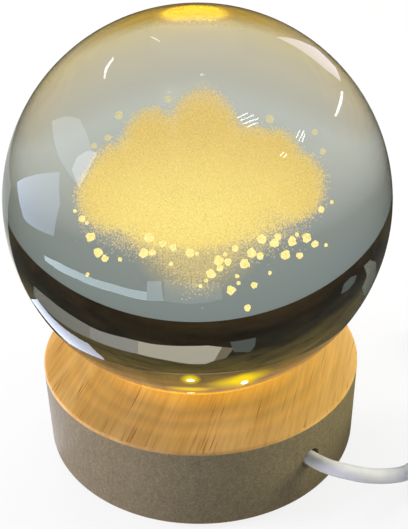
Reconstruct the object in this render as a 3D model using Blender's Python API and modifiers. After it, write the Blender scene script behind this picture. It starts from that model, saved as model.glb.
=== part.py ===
"""Crystal ball lamp: an 80 mm glass ball seated on a turned wooden base with a ring of LEDs under it.

A moulded cup hangs in the base's well and holds the LED board. A cover and an anti-slip pad close the
underside. The lead leaves through a hole in the side, and carries an in-line rocker switch and a plug.
Metres, +Z up. The origin is on the table, under the ball's centre. The front of the lamp faces -Y.
"""

import math

import bmesh
import bpy
import numpy
from mathutils import Matrix, Vector

# Shared fits
CLEARANCE = 0.0003  # between neighbours that touch on the real lamp
OVERRUN = 0.001  # how far a cutter runs past the face it cuts
MERGE = 0.00001

# Ball
BALL_RADIUS = 0.040
BALL_SEGMENTS = 48
BALL_RINGS = 24

# Wooden base
PAD_THICKNESS = 0.001
PAD_INSET = 0.003  # from the block's side to the pad's rim
PAD_EDGE = 0.0003
BLOCK_RADIUS = 0.036
BLOCK_HEIGHT = 0.0202
BLOCK_TOP_ROUND = 0.0005
BLOCK_BOTTOM_ROUND = 0.0008
SEAT_RADIUS = 0.015  # the circle on which the ball rests
SEAT_SET = 0.0001  # how far that circle lies below the top face
SEAT_LAND = 0.0006  # how far the seat's cone runs inside that circle
WEB_THICKNESS = 0.0065  # wood between the top face and the electronics pocket
POCKET_PLAY = 0.0041  # room around the cup's flange for the lead and its tie
BLOCK_STEPS = 72

# Lead and its hole
CORD_DIAMETER = 0.0032
CORD_HOLE_CLEARANCE = 0.0008
CORD_HOLE_RISE = 0.0106  # from the block's underside to the hole's middle
CORD_AZIMUTH_DEG = -50.5  # from +X, towards the front right
JACKET_REACH = 0.0036  # length of jacket inside the wall

# Bottom cover
COVER_LAND = 0.0060  # wood between the pocket and the cover's rim, which takes the screws
COVER_THICKNESS = 0.0015
COVER_SCREW_INSET = 0.0029
COVER_SCREW_LENGTH = 0.0084
COVER_HEAD_RADIUS = 0.0017
COVER_HEAD_RIM = 0.0002

# Reflector cup
CUP_STEP = 0.0008  # the cup's mouth is this much narrower than the wooden well
CUP_WALL = 0.0013
CUP_DEPTH = 0.0065
CUP_FLANGE_WIDTH = 0.0040
CUP_FLANGE_THICKNESS = 0.0015
CUP_LEDGE_WIDTH = 0.0030
CUP_LEDGE_THICKNESS = 0.0012
LUG_COUNT = 3
LUG_REACH = 0.0009
LUG_WIDTH = 0.0024
LUG_HEIGHT = 0.0008
SMALL_EDGE = 0.0002  # broken edge of the small moulded and cut pieces
CUP_SCREW_LENGTH = 0.0048

# Screws
SCREW_COUNT = 3
SCREW_SHANK_RADIUS = 0.0008
SCREW_HEAD_RADIUS = 0.0016
SCREW_HEAD_HEIGHT = 0.0011
SCREW_RECESS_RADIUS = 0.0006
SCREW_RECESS_DEPTH = 0.0004
SCREW_STEPS = 12

# LED board
BOARD_THICKNESS = 0.0010
BOARD_PLAY = 0.0004
LED_COUNT = 5
LED_INSET = 0.0041  # from the cup's wall to the LEDs' middles
LED_FIRST_DEG = 31.0
LED_LENGTH = 0.0035
LED_WIDTH = 0.0028
LED_HEIGHT = 0.0012
LED_LENS_RADIUS = 0.0011
LED_LENS_DEPTH = 0.0003
RESISTOR_LENGTH = 0.0020
RESISTOR_WIDTH = 0.0012
RESISTOR_HEIGHT = 0.0005
RESISTOR_PITCH = 0.0030

# Inner wires
WIRE_DIAMETER = 0.0011
WIRE_SPACING = 0.0016
WIRE_DROP = 0.0024  # from the cup's underside down to the wires
WIRE_PAD_RADIUS = 0.0030

# Cable tie inside the wall
TIE_WIDTH = 0.0024
TIE_THICKNESS = 0.0008
TIE_STEPS = 24
TIE_LOCK_REACH = 0.0030
TIE_LOCK_WIDTH = 0.0036
TIE_LOCK_CORNER = 0.0004

# Stored coil of the lead
COIL_CENTRE = (0.0750, -0.0206)
COIL_OUTER_TURN_RADIUS = 0.0231
COIL_TURNS = 11 + 1 / 6
COIL_LAYERS = 4
COIL_TURN_PITCH = 0.0042
COIL_LAYER_PITCH = 0.0040
COIL_START_DEG = 150.0
COIL_POINTS_A_TURN = 24
STRAP_THICKNESS = 0.0006
STRAP_WIDTH = 0.0060
STRAP_ROUND = 0.0015
STRAP_DEG = -20.0

# The lead's route between its hole and the coil, chosen by hand along its curve on the table
RUN_ROUTE = [
    (0.0262, -0.0302, 0.0118),
    (0.0301, -0.0312, 0.0112),
    (0.0340, -0.0310, 0.0099),
    (0.0377, -0.0298, 0.0084),
    (0.0411, -0.0280, 0.0068),
    (0.0441, -0.0257, 0.0052),
    (0.0467, -0.0228, 0.0040),
    (0.0490, -0.0195, 0.0031),
    (0.0511, -0.0160, 0.0026),
]
# From the coil down to the table, round to the left and up into the switch's near end
TAIL_ROUTE = [
    (0.0840, 0.0025, 0.0140),
    (0.0900, 0.0024, 0.0120),
    (0.0965, 0.0023, 0.0088),
    (0.1030, 0.0022, 0.0055),
    (0.1090, 0.0022, 0.0031),
    (0.1145, 0.0022, 0.0020),
    (0.1195, 0.0024, 0.0018),
    (0.1233, 0.0034, 0.0018),
    (0.1261, 0.0062, 0.0019),
    (0.1271, 0.0100, 0.0023),
    (0.1261, 0.0138, 0.0031),
    (0.1233, 0.0166, 0.0041),
    (0.1195, 0.0176, 0.0048),
]
# From the switch's far end round to the right and towards the plug
LEAD_ROUTE = [
    (0.0680, 0.0177, 0.0049),
    (0.0641, 0.0188, 0.0044),
    (0.0613, 0.0216, 0.0036),
    (0.0602, 0.0255, 0.0030),
    (0.0613, 0.0294, 0.0028),
    (0.0641, 0.0322, 0.0030),
    (0.0680, 0.0333, 0.0035),
]
FREE_END_LENGTH = 0.0040  # the lead runs straight this far outside the switch and the plug

# In-line switch, lying along X, with the lamp's end at +X
SWITCH_CENTRE = (0.0930, 0.0177)
SWITCH_LENGTH = 0.042
SWITCH_WIDTH = 0.013
SWITCH_HEIGHT = 0.0105
SWITCH_SPLIT_HEIGHT = 0.0056
SWITCH_WALL = 0.0012
SWITCH_CORNER = 0.0052
SWITCH_EDGE = 0.0010
SWITCH_END_BLOCK = 0.0075
SWITCH_CORD_HEIGHT = 0.0050
SWITCH_CORD_GRIP = 0.0050  # length of jacket inside each end
CAVITY_CORNER = 0.0010
WINDOW_LENGTH = 0.0150
WINDOW_WIDTH = 0.0074
WINDOW_CORNER = 0.0006
ROCKER_TILT_DEG = 8.0
ROCKER_END_PLAY = 0.0007
PIVOT_DEPTH = 0.0022  # the pivot below the switch's top
ROCKER_RISE = 0.0021  # ends of the rocker's top above the pivot
ROCKER_DIP = 0.0012  # middle of its top above the pivot
ROCKER_SKIRT = 0.0002  # its underside below the pivot
ROCKER_BOSS_DEPTH = 0.0020
ROCKER_BOSS_WIDTH = 0.0036
NUB_OFFSET = 0.0044
NUB_WIDTH = 0.0012
NUB_DEPTH = 0.0026
PIVOT_RADIUS = 0.0010
EAR_SET_BACK = 0.0002
EAR_THICKNESS = 0.0010
EAR_WIDTH = 0.0044
EAR_DROP = 0.0021
POST_INSET = 0.0050
POST_OFFSET = 0.0037
SWITCH_SCREW_LENGTH = 0.0056
CONTACT_THICKNESS = 0.0004
CONTACT_WIDTH = 0.0030
CONTACT_FOOT_LENGTH = 0.0045
CONTACT_RISER = 0.0074  # from the switch's middle to where each contact leaves the floor
CONTACT_RAMP = 0.0030
CONTACT_TIP = 0.0032
# Routes of the switch's wires from its middle: the through wire, then the wire to the near contact
BLACK_WIRE_ROUTE = [
    (0.0157, -0.0008, 0.0050),
    (0.0130, -0.0012, 0.0046),
    (0.0105, -0.0028, 0.0034),
    (0.0070, -0.0034, 0.0026),
    (0.0000, -0.0034, 0.0024),
    (-0.0070, -0.0034, 0.0026),
    (-0.0105, -0.0028, 0.0034),
    (-0.0130, -0.0012, 0.0046),
    (-0.0157, -0.0008, 0.0050),
]
RED_WIRE_ROUTE = [
    (0.0157, 0.0008, 0.0050),
    (0.0135, 0.0008, 0.0047),
    (0.0115, 0.0006, 0.0041),
    (0.0107, 0.0004, 0.0030),
    (0.0106, 0.0004, 0.0022),
]

# Plug, lying along X and pointing to +X
PLUG_PLACE = (0.0780, 0.0333)  # the tip of its strain relief
PLUG_LENGTH = 0.0240
PLUG_WIDTH = 0.0145
PLUG_HEIGHT = 0.0074
PLUG_CORNER = 0.0022
PLUG_EDGE = 0.0009
RELIEF_LENGTH = 0.0110
RELIEF_TIP_RADIUS = 0.0024
RELIEF_ROOT_RADIUS = 0.0034
RELIEF_RIBS = 4
RELIEF_GROOVE = 0.0003
RELIEF_STEPS = 24
PLUG_CORD_GRIP = 0.0140
SHELL_LENGTH = 0.0120  # bare metal in front of the overmould
SHELL_WIDTH = 0.0120
SHELL_HEIGHT = 0.0045
SHELL_WALL = 0.0003
SHELL_CORNER = 0.0006
SHELL_SEAT_DEPTH = 0.0050
SHELL_WINDOW = 0.0022
SHELL_WINDOW_PITCH = 0.0050
SHELL_WINDOW_SET_BACK = 0.0060
TONGUE_HEIGHT = 0.0018
TONGUE_SET_BACK = 0.0006
TONGUE_BLOCK_LENGTH = 0.0030
STRIP_WIDTH = 0.0010
STRIP_THICKNESS = 0.0002
STRIP_LENGTH = 0.0076
STRIP_SET_BACK = 0.0012
STRIP_INNER_OFFSET = 0.0010
STRIP_OUTER_OFFSET = 0.0035

# Sizes that follow
CORD_RADIUS = CORD_DIAMETER / 2
WIRE_RADIUS = WIRE_DIAMETER / 2
PAD_RADIUS = BLOCK_RADIUS - PAD_INSET
BLOCK_BOTTOM = PAD_THICKNESS + CLEARANCE
BLOCK_TOP = BLOCK_BOTTOM + BLOCK_HEIGHT
SEAT_ANGLE = math.asin(SEAT_RADIUS / BALL_RADIUS)
BALL_CENTRE_Z = BLOCK_TOP - SEAT_SET + BALL_RADIUS * math.cos(SEAT_ANGLE)
WELL_RADIUS = SEAT_RADIUS - SEAT_LAND
POCKET_ROOF = BLOCK_TOP - WEB_THICKNESS
CUP_INNER_RADIUS = WELL_RADIUS - CUP_STEP
CUP_OUTER_RADIUS = CUP_INNER_RADIUS + CUP_WALL
CUP_LEDGE_RADIUS = CUP_INNER_RADIUS - CUP_LEDGE_WIDTH
CUP_FLANGE_RADIUS = CUP_OUTER_RADIUS + CUP_FLANGE_WIDTH
POCKET_RADIUS = CUP_FLANGE_RADIUS + POCKET_PLAY
COVER_RADIUS = POCKET_RADIUS + COVER_LAND
COVER_TOP = BLOCK_BOTTOM + COVER_THICKNESS
REBATE_RADIUS = COVER_RADIUS + CLEARANCE
REBATE_TOP = COVER_TOP + CLEARANCE
COVER_SCREW_RING = COVER_RADIUS - COVER_SCREW_INSET
CUP_SCREW_RING = CUP_OUTER_RADIUS + CUP_FLANGE_WIDTH / 2
CUP_TOP = POCKET_ROOF - CLEARANCE
CUP_FLANGE_BOTTOM = CUP_TOP - CUP_FLANGE_THICKNESS
CUP_BOTTOM = CUP_TOP - CUP_DEPTH
CUP_FLOOR = CUP_BOTTOM + CUP_LEDGE_THICKNESS
BOARD_BOTTOM = CUP_FLOOR + CLEARANCE
BOARD_TOP = BOARD_BOTTOM + BOARD_THICKNESS
BOARD_RADIUS = CUP_INNER_RADIUS - BOARD_PLAY
LED_RING_RADIUS = CUP_INNER_RADIUS - LED_INSET
CORD_HOLE_HEIGHT = BLOCK_BOTTOM + CORD_HOLE_RISE
JACKET_END = POCKET_RADIUS - JACKET_REACH
CORD_AZIMUTH = math.radians(CORD_AZIMUTH_DEG)
SCREW_AZIMUTH = CORD_AZIMUTH + math.pi / SCREW_COUNT
OUTWARD = Vector((math.cos(CORD_AZIMUTH), math.sin(CORD_AZIMUTH), 0))
SIDEWAYS = Vector((-OUTWARD.y, OUTWARD.x, 0))
UP = Vector((0, 0, 1))
COIL_LAYER_TURNS = (COIL_TURNS - (COIL_LAYERS - 1) / 2) / COIL_LAYERS
COIL_INNER_TURN_RADIUS = COIL_OUTER_TURN_RADIUS - COIL_TURN_PITCH * COIL_LAYER_TURNS
COIL_BOTTOM_TURN = STRAP_THICKNESS + CLEARANCE + CORD_RADIUS
COIL_TOP_TURN = COIL_BOTTOM_TURN + (COIL_LAYERS - 1) * COIL_LAYER_PITCH
PIVOT_Z = SWITCH_HEIGHT - PIVOT_DEPTH
ROCKER_TILT = math.radians(ROCKER_TILT_DEG)
PLUG_NOSE = RELIEF_LENGTH + PLUG_LENGTH
UPRIGHT = Matrix.Rotation(math.pi / 2, 4, "X")  # turns an outline in XY to stand in XZ


# Collections and materials
def new_collection(name):
    collection = bpy.data.collections.new(name)
    bpy.context.scene.collection.children.link(collection)
    return collection


def make_material(name, colour, roughness, metallic=0.0, transmission=0.0, glow=0.0):
    material = bpy.data.materials.new(name)
    material.use_nodes = True
    shader = material.node_tree.nodes["Principled BSDF"]
    shader.inputs["Base Color"].default_value = (*colour, 1)
    shader.inputs["Roughness"].default_value = roughness
    shader.inputs["Metallic"].default_value = metallic
    shader.inputs["Transmission Weight"].default_value = transmission
    shader.inputs["Emission Color"].default_value = (*colour, 1)
    shader.inputs["Emission Strength"].default_value = glow
    return material


for leftover in list(bpy.data.objects):
    bpy.data.objects.remove(leftover)
PARTS = new_collection("crystal_ball_lamp")
CUTTERS = new_collection("cutters")

GLASS = make_material("crystal glass", (0.92, 0.93, 0.90), 0.0, transmission=1.0)
WOOD = make_material("oiled ash wood", (0.55, 0.37, 0.20), 0.45)
EVA_FOAM = make_material("EVA foam", (0.03, 0.03, 0.03), 0.9)
WHITE_MOULDING = make_material("white moulded plastic", (0.80, 0.78, 0.72), 0.35)
BLACK_MOULDING = make_material("black moulded plastic", (0.02, 0.02, 0.02), 0.5)
BOARD_LACQUER = make_material("white board lacquer", (0.75, 0.74, 0.70), 0.4)
LED_LIT = make_material("lit LED", (1.0, 0.72, 0.30), 0.4, glow=5.0)
RESISTOR_BLACK = make_material("resistor ceramic", (0.02, 0.02, 0.02), 0.4)
STEEL = make_material("zinc plated steel", (0.60, 0.60, 0.62), 0.3, metallic=1.0)
BRASS = make_material("brass", (0.75, 0.58, 0.25), 0.3, metallic=1.0)
NYLON = make_material("white nylon", (0.75, 0.75, 0.73), 0.4)
RED_PVC = make_material("red wire PVC", (0.55, 0.02, 0.02), 0.4)
BLACK_PVC = make_material("black wire PVC", (0.02, 0.02, 0.02), 0.4)
CORD_PVC = make_material("white lead PVC", (0.68, 0.66, 0.72), 0.3)
SWITCH_PLASTIC = make_material("white switch plastic", (0.78, 0.78, 0.78), 0.35)


# Modelling tools
def place_mesh(name, mesh, material, collection=None, parent=None):
    part = bpy.data.objects.new(name, mesh)
    (collection or PARTS).objects.link(part)
    part.parent = parent
    if material:
        mesh.materials.clear()
        mesh.materials.append(material)
    return part


def place_cutter(name, mesh, parent=None):
    cutter = place_mesh(name, mesh, None, CUTTERS, parent)
    cutter.hide_render = True
    cutter.display_type = "WIRE"
    return cutter


def combine(part, tool, operation="DIFFERENCE"):
    step = part.modifiers.new(tool.name, "BOOLEAN")
    step.operation = operation
    step.solver = "EXACT"
    step.object = tool


def place_empty(name, location):
    empty = bpy.data.objects.new(name, None)
    empty.location = location
    PARTS.objects.link(empty)
    return empty


def finish_mesh(bm, name, smooth_deg=35):
    bmesh.ops.recalc_face_normals(bm, faces=bm.faces)
    mesh = bpy.data.meshes.new(name)
    bm.to_mesh(mesh)
    bm.free()
    mesh.shade_smooth()
    mesh.set_sharp_from_angle(angle=math.radians(smooth_deg))
    return mesh


def arc(centre, radius, start_deg, end_deg, steps):
    """Points of an arc in an outline's plane, ends included."""
    start = math.radians(start_deg)
    step = math.radians(end_deg - start_deg) / steps
    return [
        (centre[0] + radius * math.cos(start + i * step), centre[1] + radius * math.sin(start + i * step))
        for i in range(steps + 1)
    ]


def rounded_rectangle(low, high, radius, steps=4):
    return [
        *arc((high[0] - radius, high[1] - radius), radius, 0, 90, steps),
        *arc((low[0] + radius, high[1] - radius), radius, 90, 180, steps),
        *arc((low[0] + radius, low[1] + radius), radius, 180, 270, steps),
        *arc((high[0] - radius, low[1] + radius), radius, 270, 360, steps),
    ]


def turned(name, profile, material, steps=BLOCK_STEPS, closed=True):
    """A turned piece: its (r, z) profile, down the outer side, with a Screw modifier round Z."""
    mesh = bpy.data.meshes.new(name)
    edges = [(i, i + 1) for i in range(len(profile) - 1)]
    if closed:
        edges.append((len(profile) - 1, 0))
    mesh.from_pydata([(r, 0, z) for r, z in profile], edges, [])
    part = place_mesh(name, mesh, material)
    lathe = part.modifiers.new("Lathe", "SCREW")
    lathe.steps = steps
    lathe.render_steps = steps
    lathe.use_merge_vertices = True
    lathe.merge_threshold = MERGE
    lathe.use_smooth_shade = True
    return part


def turned_mesh(name, profile, steps):
    """A small turned solid as a mesh, for copies and cutters: its profile runs from pole to pole."""
    bm = bmesh.new()
    points = [bm.verts.new((r, 0, z)) for r, z in profile]
    edges = [bm.edges.new(pair) for pair in zip(points, points[1:])]
    bmesh.ops.spin(
        bm, geom=points + edges, cent=(0, 0, 0), axis=(0, 0, 1), angle=math.tau, steps=steps, use_merge=True
    )
    bmesh.ops.remove_doubles(bm, verts=bm.verts, dist=MERGE)
    return finish_mesh(bm, name)


def rod(name, radius, start, end, steps=SCREW_STEPS):
    """A round bar between two points, as a mesh."""
    start, end = Vector(start), Vector(end)
    bm = bmesh.new()
    length = (end - start).length
    bmesh.ops.create_cone(bm, cap_ends=True, segments=steps, radius1=radius, radius2=radius, depth=length)
    along = UP.rotation_difference(end - start).to_matrix()
    bmesh.ops.rotate(bm, verts=bm.verts, cent=(0, 0, 0), matrix=along)
    bmesh.ops.translate(bm, verts=bm.verts, vec=(start + end) / 2)
    return finish_mesh(bm, name)


def slab(name, low, high, corner=0.0, edge=0.0, corner_segments=4, edge_segments=2, long_axis=2):
    """A block between two corners: its edges along one axis rounded by corner, the rest by edge."""
    low, high = Vector(low), Vector(high)
    bm = bmesh.new()
    bmesh.ops.create_cube(bm, size=1)
    bmesh.ops.scale(bm, verts=bm.verts, vec=high - low)
    bmesh.ops.translate(bm, verts=bm.verts, vec=(low + high) / 2)
    if corner:
        along = [e for e in bm.edges if abs((e.verts[0].co - e.verts[1].co)[long_axis]) > MERGE]
        bmesh.ops.bevel(
            bm, geom=along, offset=corner, segments=corner_segments, profile=0.5, affect="EDGES"
        )
    if edge:
        rims = [e for e in bm.edges if e.calc_face_angle(0) > math.radians(60)]
        bmesh.ops.bevel(bm, geom=rims, offset=edge, segments=edge_segments, profile=0.5, affect="EDGES")
    return finish_mesh(bm, name)


def outline_mesh(name, loops, thickness):
    """A flat outline in XY, with its holes, as a filled 2D curve of the given thickness made a mesh."""
    data = bpy.data.curves.new(name, "CURVE")
    data.dimensions = "2D"
    data.fill_mode = "BOTH"
    data.extrude = thickness / 2
    for loop in loops:
        line = data.splines.new("POLY")
        line.points.add(len(loop) - 1)
        line.use_cyclic_u = True
        for point, (x, y) in zip(line.points, loop):
            point.co = (x, y, 0, 1)
    outline = bpy.data.objects.new(name, data)
    PARTS.objects.link(outline)
    drawn = outline.evaluated_get(bpy.context.evaluated_depsgraph_get())
    bm = bmesh.new()
    bm.from_mesh(bpy.data.meshes.new_from_object(drawn))
    bpy.data.objects.remove(outline)
    bmesh.ops.remove_doubles(bm, verts=bm.verts, dist=MERGE)
    return finish_mesh(bm, name)


def copies(name, master, places, material, parent=None):
    """Identical screws, chips or strips: the master mesh set at each place, each its own object."""
    for number, place in enumerate(places, start=1):
        one = master.copy()
        one.transform(place)
        place_mesh(f"{name}_{number}", one, material, parent=parent)


def around(count, ring, first, height):
    """Places on a ring round the Z axis, each turned to face outwards."""
    return [
        Matrix.Rotation(first + i * math.tau / count, 4, "Z") @ Matrix.Translation((ring, 0, height))
        for i in range(count)
    ]


def drill(part, name, places, radius, low, high):
    """Cut an upright hole at each place, between two heights."""
    for number, place in enumerate(places, start=1):
        x, y, _ = place.translation
        hole = rod(f"{name}_{number}", radius, (x, y, low), (x, y, high))
        combine(part, place_cutter(f"{name}_{number}", hole, part.parent))


def smooth_route(points, spacing):
    """Even points on a centripetal Catmull-Rom curve through the route's own points."""
    points = [Vector(p) for p in points]
    ends = [2 * points[0] - points[1], *points, 2 * points[-1] - points[-2]]
    fine = 24
    dense = []
    for a, b, c, d in zip(ends, ends[1:], ends[2:], ends[3:]):
        t1 = math.sqrt((b - a).length)
        t2 = t1 + math.sqrt((c - b).length)
        t3 = t2 + math.sqrt((d - c).length)
        for i in range(fine):
            t = t1 + (t2 - t1) * i / fine
            ab = a.lerp(b, t / t1)
            bc = b.lerp(c, (t - t1) / (t2 - t1))
            cd = c.lerp(d, (t - t2) / (t3 - t2))
            abc = ab.lerp(bc, t / t2)
            bcd = bc.lerp(cd, (t - t1) / (t3 - t1))
            dense.append(abc.lerp(bcd, (t - t1) / (t2 - t1)))
    dense.append(points[-1])
    run = [0.0]
    for a, b in zip(dense, dense[1:]):
        run.append(run[-1] + (b - a).length)
    count = max(2, round(run[-1] / spacing))
    route, at = [], 0
    for i in range(count + 1):
        want = run[-1] * i / count
        while at < len(dense) - 2 and run[at + 1] < want:
            at += 1
        route.append(dense[at].lerp(dense[at + 1], (want - run[at]) / (run[at + 1] - run[at])))
    return route


def length_of(points):
    return sum((b - a).length for a, b in zip(points, points[1:]))


def tube(name, points, diameter, material, resolution=2, parent=None):
    """A wire or a lead: a round bevel on a polyline, with filled ends."""
    data = bpy.data.curves.new(name, "CURVE")
    data.dimensions = "3D"
    line = data.splines.new("POLY")
    line.points.add(len(points) - 1)
    for point, place in zip(line.points, points):
        point.co = (*place, 1)
    data.bevel_depth = diameter / 2
    data.bevel_resolution = resolution
    data.use_fill_caps = True
    data.materials.append(material)
    part = bpy.data.objects.new(name, data)
    part.parent = parent
    PARTS.objects.link(part)
    return part


def pan_screw(name, length):
    """A pan-head screw, its shank rising from the origin and its recessed head below."""
    bend = SCREW_HEAD_HEIGHT / 2
    profile = [
        (0, length),
        (SCREW_SHANK_RADIUS / 2, length - SCREW_SHANK_RADIUS / 2),
        (SCREW_SHANK_RADIUS, length - 2 * SCREW_SHANK_RADIUS),
        (SCREW_SHANK_RADIUS, 0),
        (SCREW_HEAD_RADIUS, 0),
        *arc((SCREW_HEAD_RADIUS - bend, -bend), bend, 0, -90, 3),
        (SCREW_RECESS_RADIUS, -SCREW_HEAD_HEIGHT),
        (SCREW_RECESS_RADIUS, -SCREW_HEAD_HEIGHT + SCREW_RECESS_DEPTH),
        (0, -SCREW_HEAD_HEIGHT + SCREW_RECESS_DEPTH),
    ]
    return turned_mesh(name, profile, SCREW_STEPS)


def countersunk_screw(name, length):
    """A flat-head screw, its flush face at the origin and its shank rising."""
    cone = COVER_HEAD_RADIUS - SCREW_SHANK_RADIUS
    profile = [
        (0, length),
        (SCREW_SHANK_RADIUS / 2, length - SCREW_SHANK_RADIUS / 2),
        (SCREW_SHANK_RADIUS, length - 2 * SCREW_SHANK_RADIUS),
        (SCREW_SHANK_RADIUS, COVER_HEAD_RIM + cone),
        (COVER_HEAD_RADIUS, COVER_HEAD_RIM),
        (COVER_HEAD_RADIUS, 0),
        (SCREW_RECESS_RADIUS, 0),
        (SCREW_RECESS_RADIUS, SCREW_RECESS_DEPTH),
        (0, SCREW_RECESS_DEPTH),
    ]
    return turned_mesh(name, profile, SCREW_STEPS)


# Glass ball
def crystal_ball():
    bm = bmesh.new()
    bmesh.ops.create_uvsphere(bm, u_segments=BALL_SEGMENTS, v_segments=BALL_RINGS, radius=BALL_RADIUS)
    ball = place_mesh("crystal_ball", finish_mesh(bm, "crystal_ball"), GLASS)
    ball.location = (0, 0, BALL_CENTRE_Z)


# Wooden base
def seat_profile():
    """The cone that the ball sits on, one clearance outside its surface, from the well to the top face."""
    touch_r = SEAT_RADIUS + CLEARANCE * math.sin(SEAT_ANGLE)
    touch_z = BALL_CENTRE_Z - (BALL_RADIUS + CLEARANCE) * math.cos(SEAT_ANGLE)
    slope = math.tan(SEAT_ANGLE)
    return [
        (WELL_RADIUS, touch_z - (touch_r - WELL_RADIUS) * slope),
        (touch_r + (BLOCK_TOP - touch_z) / slope, BLOCK_TOP),
    ]


def base_block():
    top = (BLOCK_RADIUS - BLOCK_TOP_ROUND, BLOCK_TOP - BLOCK_TOP_ROUND)
    bottom = (BLOCK_RADIUS - BLOCK_BOTTOM_ROUND, BLOCK_BOTTOM + BLOCK_BOTTOM_ROUND)
    profile = [
        *seat_profile(),
        *arc(top, BLOCK_TOP_ROUND, 90, 0, 4),
        *arc(bottom, BLOCK_BOTTOM_ROUND, 0, -90, 4),
        (REBATE_RADIUS, BLOCK_BOTTOM),
        (REBATE_RADIUS, REBATE_TOP),
        (POCKET_RADIUS, REBATE_TOP),
        (POCKET_RADIUS, POCKET_ROOF),
        (WELL_RADIUS, POCKET_ROOF),
    ]
    block = turned("base_block", profile, WOOD)
    level = UP * CORD_HOLE_HEIGHT
    inner = OUTWARD * (POCKET_RADIUS - OVERRUN) + level
    outer = OUTWARD * (BLOCK_RADIUS + OVERRUN) + level
    hole = rod("cord_hole", CORD_RADIUS + CORD_HOLE_CLEARANCE, inner, outer, 2 * SCREW_STEPS)
    combine(block, place_cutter("cord_hole", hole))
    pilot = SCREW_SHANK_RADIUS + CLEARANCE
    cover_places = around(SCREW_COUNT, COVER_SCREW_RING, SCREW_AZIMUTH, 0)
    cover_tip = BLOCK_BOTTOM + COVER_SCREW_LENGTH + CLEARANCE
    drill(block, "cover_pilot", cover_places, pilot, REBATE_TOP - OVERRUN, cover_tip)
    cup_places = around(SCREW_COUNT, CUP_SCREW_RING, SCREW_AZIMUTH, 0)
    cup_tip = CUP_FLANGE_BOTTOM + CUP_SCREW_LENGTH
    drill(block, "cup_pilot", cup_places, pilot, POCKET_ROOF - OVERRUN, cup_tip)


def bottom_cover():
    profile = [(0, COVER_TOP), (COVER_RADIUS, COVER_TOP), (COVER_RADIUS, BLOCK_BOTTOM), (0, BLOCK_BOTTOM)]
    cover = turned("bottom_cover", profile, BLACK_MOULDING, closed=False)
    hole = SCREW_SHANK_RADIUS + CLEARANCE
    wide = COVER_HEAD_RADIUS + COVER_HEAD_RIM + math.sqrt(2) * CLEARANCE + OVERRUN
    low, high = BLOCK_BOTTOM - OVERRUN, REBATE_TOP + OVERRUN
    sink_profile = [(0, high), (hole, high), (hole, low + wide - hole), (wide, low), (0, low)]
    sink = turned_mesh("cover_sink", sink_profile, SCREW_STEPS)
    for number, place in enumerate(around(SCREW_COUNT, COVER_SCREW_RING, SCREW_AZIMUTH, 0), start=1):
        one = sink.copy()
        one.transform(place)
        combine(cover, place_cutter(f"cover_sink_{number}", one))
    seats = around(SCREW_COUNT, COVER_SCREW_RING, SCREW_AZIMUTH, BLOCK_BOTTOM)
    copies("cover_screw", countersunk_screw("countersunk", COVER_SCREW_LENGTH), seats, STEEL)


def base_pad():
    profile = [
        (0, PAD_THICKNESS),
        (PAD_RADIUS - PAD_EDGE, PAD_THICKNESS),
        (PAD_RADIUS, PAD_THICKNESS - PAD_EDGE),
        (PAD_RADIUS, 0),
        (0, 0),
    ]
    turned("base_pad", profile, EVA_FOAM, closed=False)


# Reflector cup and its screws
def led_cup():
    profile = [
        (CUP_INNER_RADIUS, CUP_TOP),
        (CUP_FLANGE_RADIUS, CUP_TOP),
        (CUP_FLANGE_RADIUS, CUP_FLANGE_BOTTOM),
        (CUP_OUTER_RADIUS, CUP_FLANGE_BOTTOM),
        (CUP_OUTER_RADIUS, CUP_BOTTOM),
        (CUP_LEDGE_RADIUS, CUP_BOTTOM),
        (CUP_LEDGE_RADIUS, CUP_FLOOR),
        (CUP_INNER_RADIUS, CUP_FLOOR),
    ]
    cup = turned("led_cup", profile, WHITE_MOULDING, steps=64)
    lug_bottom = BOARD_TOP + CLEARANCE
    lug = slab(
        "lug",
        (CUP_INNER_RADIUS - LUG_REACH, -LUG_WIDTH / 2, lug_bottom),
        (CUP_INNER_RADIUS + CUP_WALL / 2, LUG_WIDTH / 2, lug_bottom + LUG_HEIGHT),
        edge=SMALL_EDGE,
        edge_segments=1,
    )
    between_leds = math.radians(LED_FIRST_DEG) + math.pi / LED_COUNT
    for number, place in enumerate(around(LUG_COUNT, 0, between_leds, 0), start=1):
        one = lug.copy()
        one.transform(place)
        combine(cup, place_cutter(f"cup_lug_{number}", one), "UNION")
    places = around(SCREW_COUNT, CUP_SCREW_RING, SCREW_AZIMUTH, 0)
    hole = SCREW_SHANK_RADIUS + CLEARANCE
    drill(cup, "flange_hole", places, hole, CUP_FLANGE_BOTTOM - OVERRUN, CUP_TOP + OVERRUN)
    seats = around(SCREW_COUNT, CUP_SCREW_RING, SCREW_AZIMUTH, CUP_FLANGE_BOTTOM - CLEARANCE)
    copies("cup_screw", pan_screw("pan_screw", CUP_SCREW_LENGTH), seats, STEEL)


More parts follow.
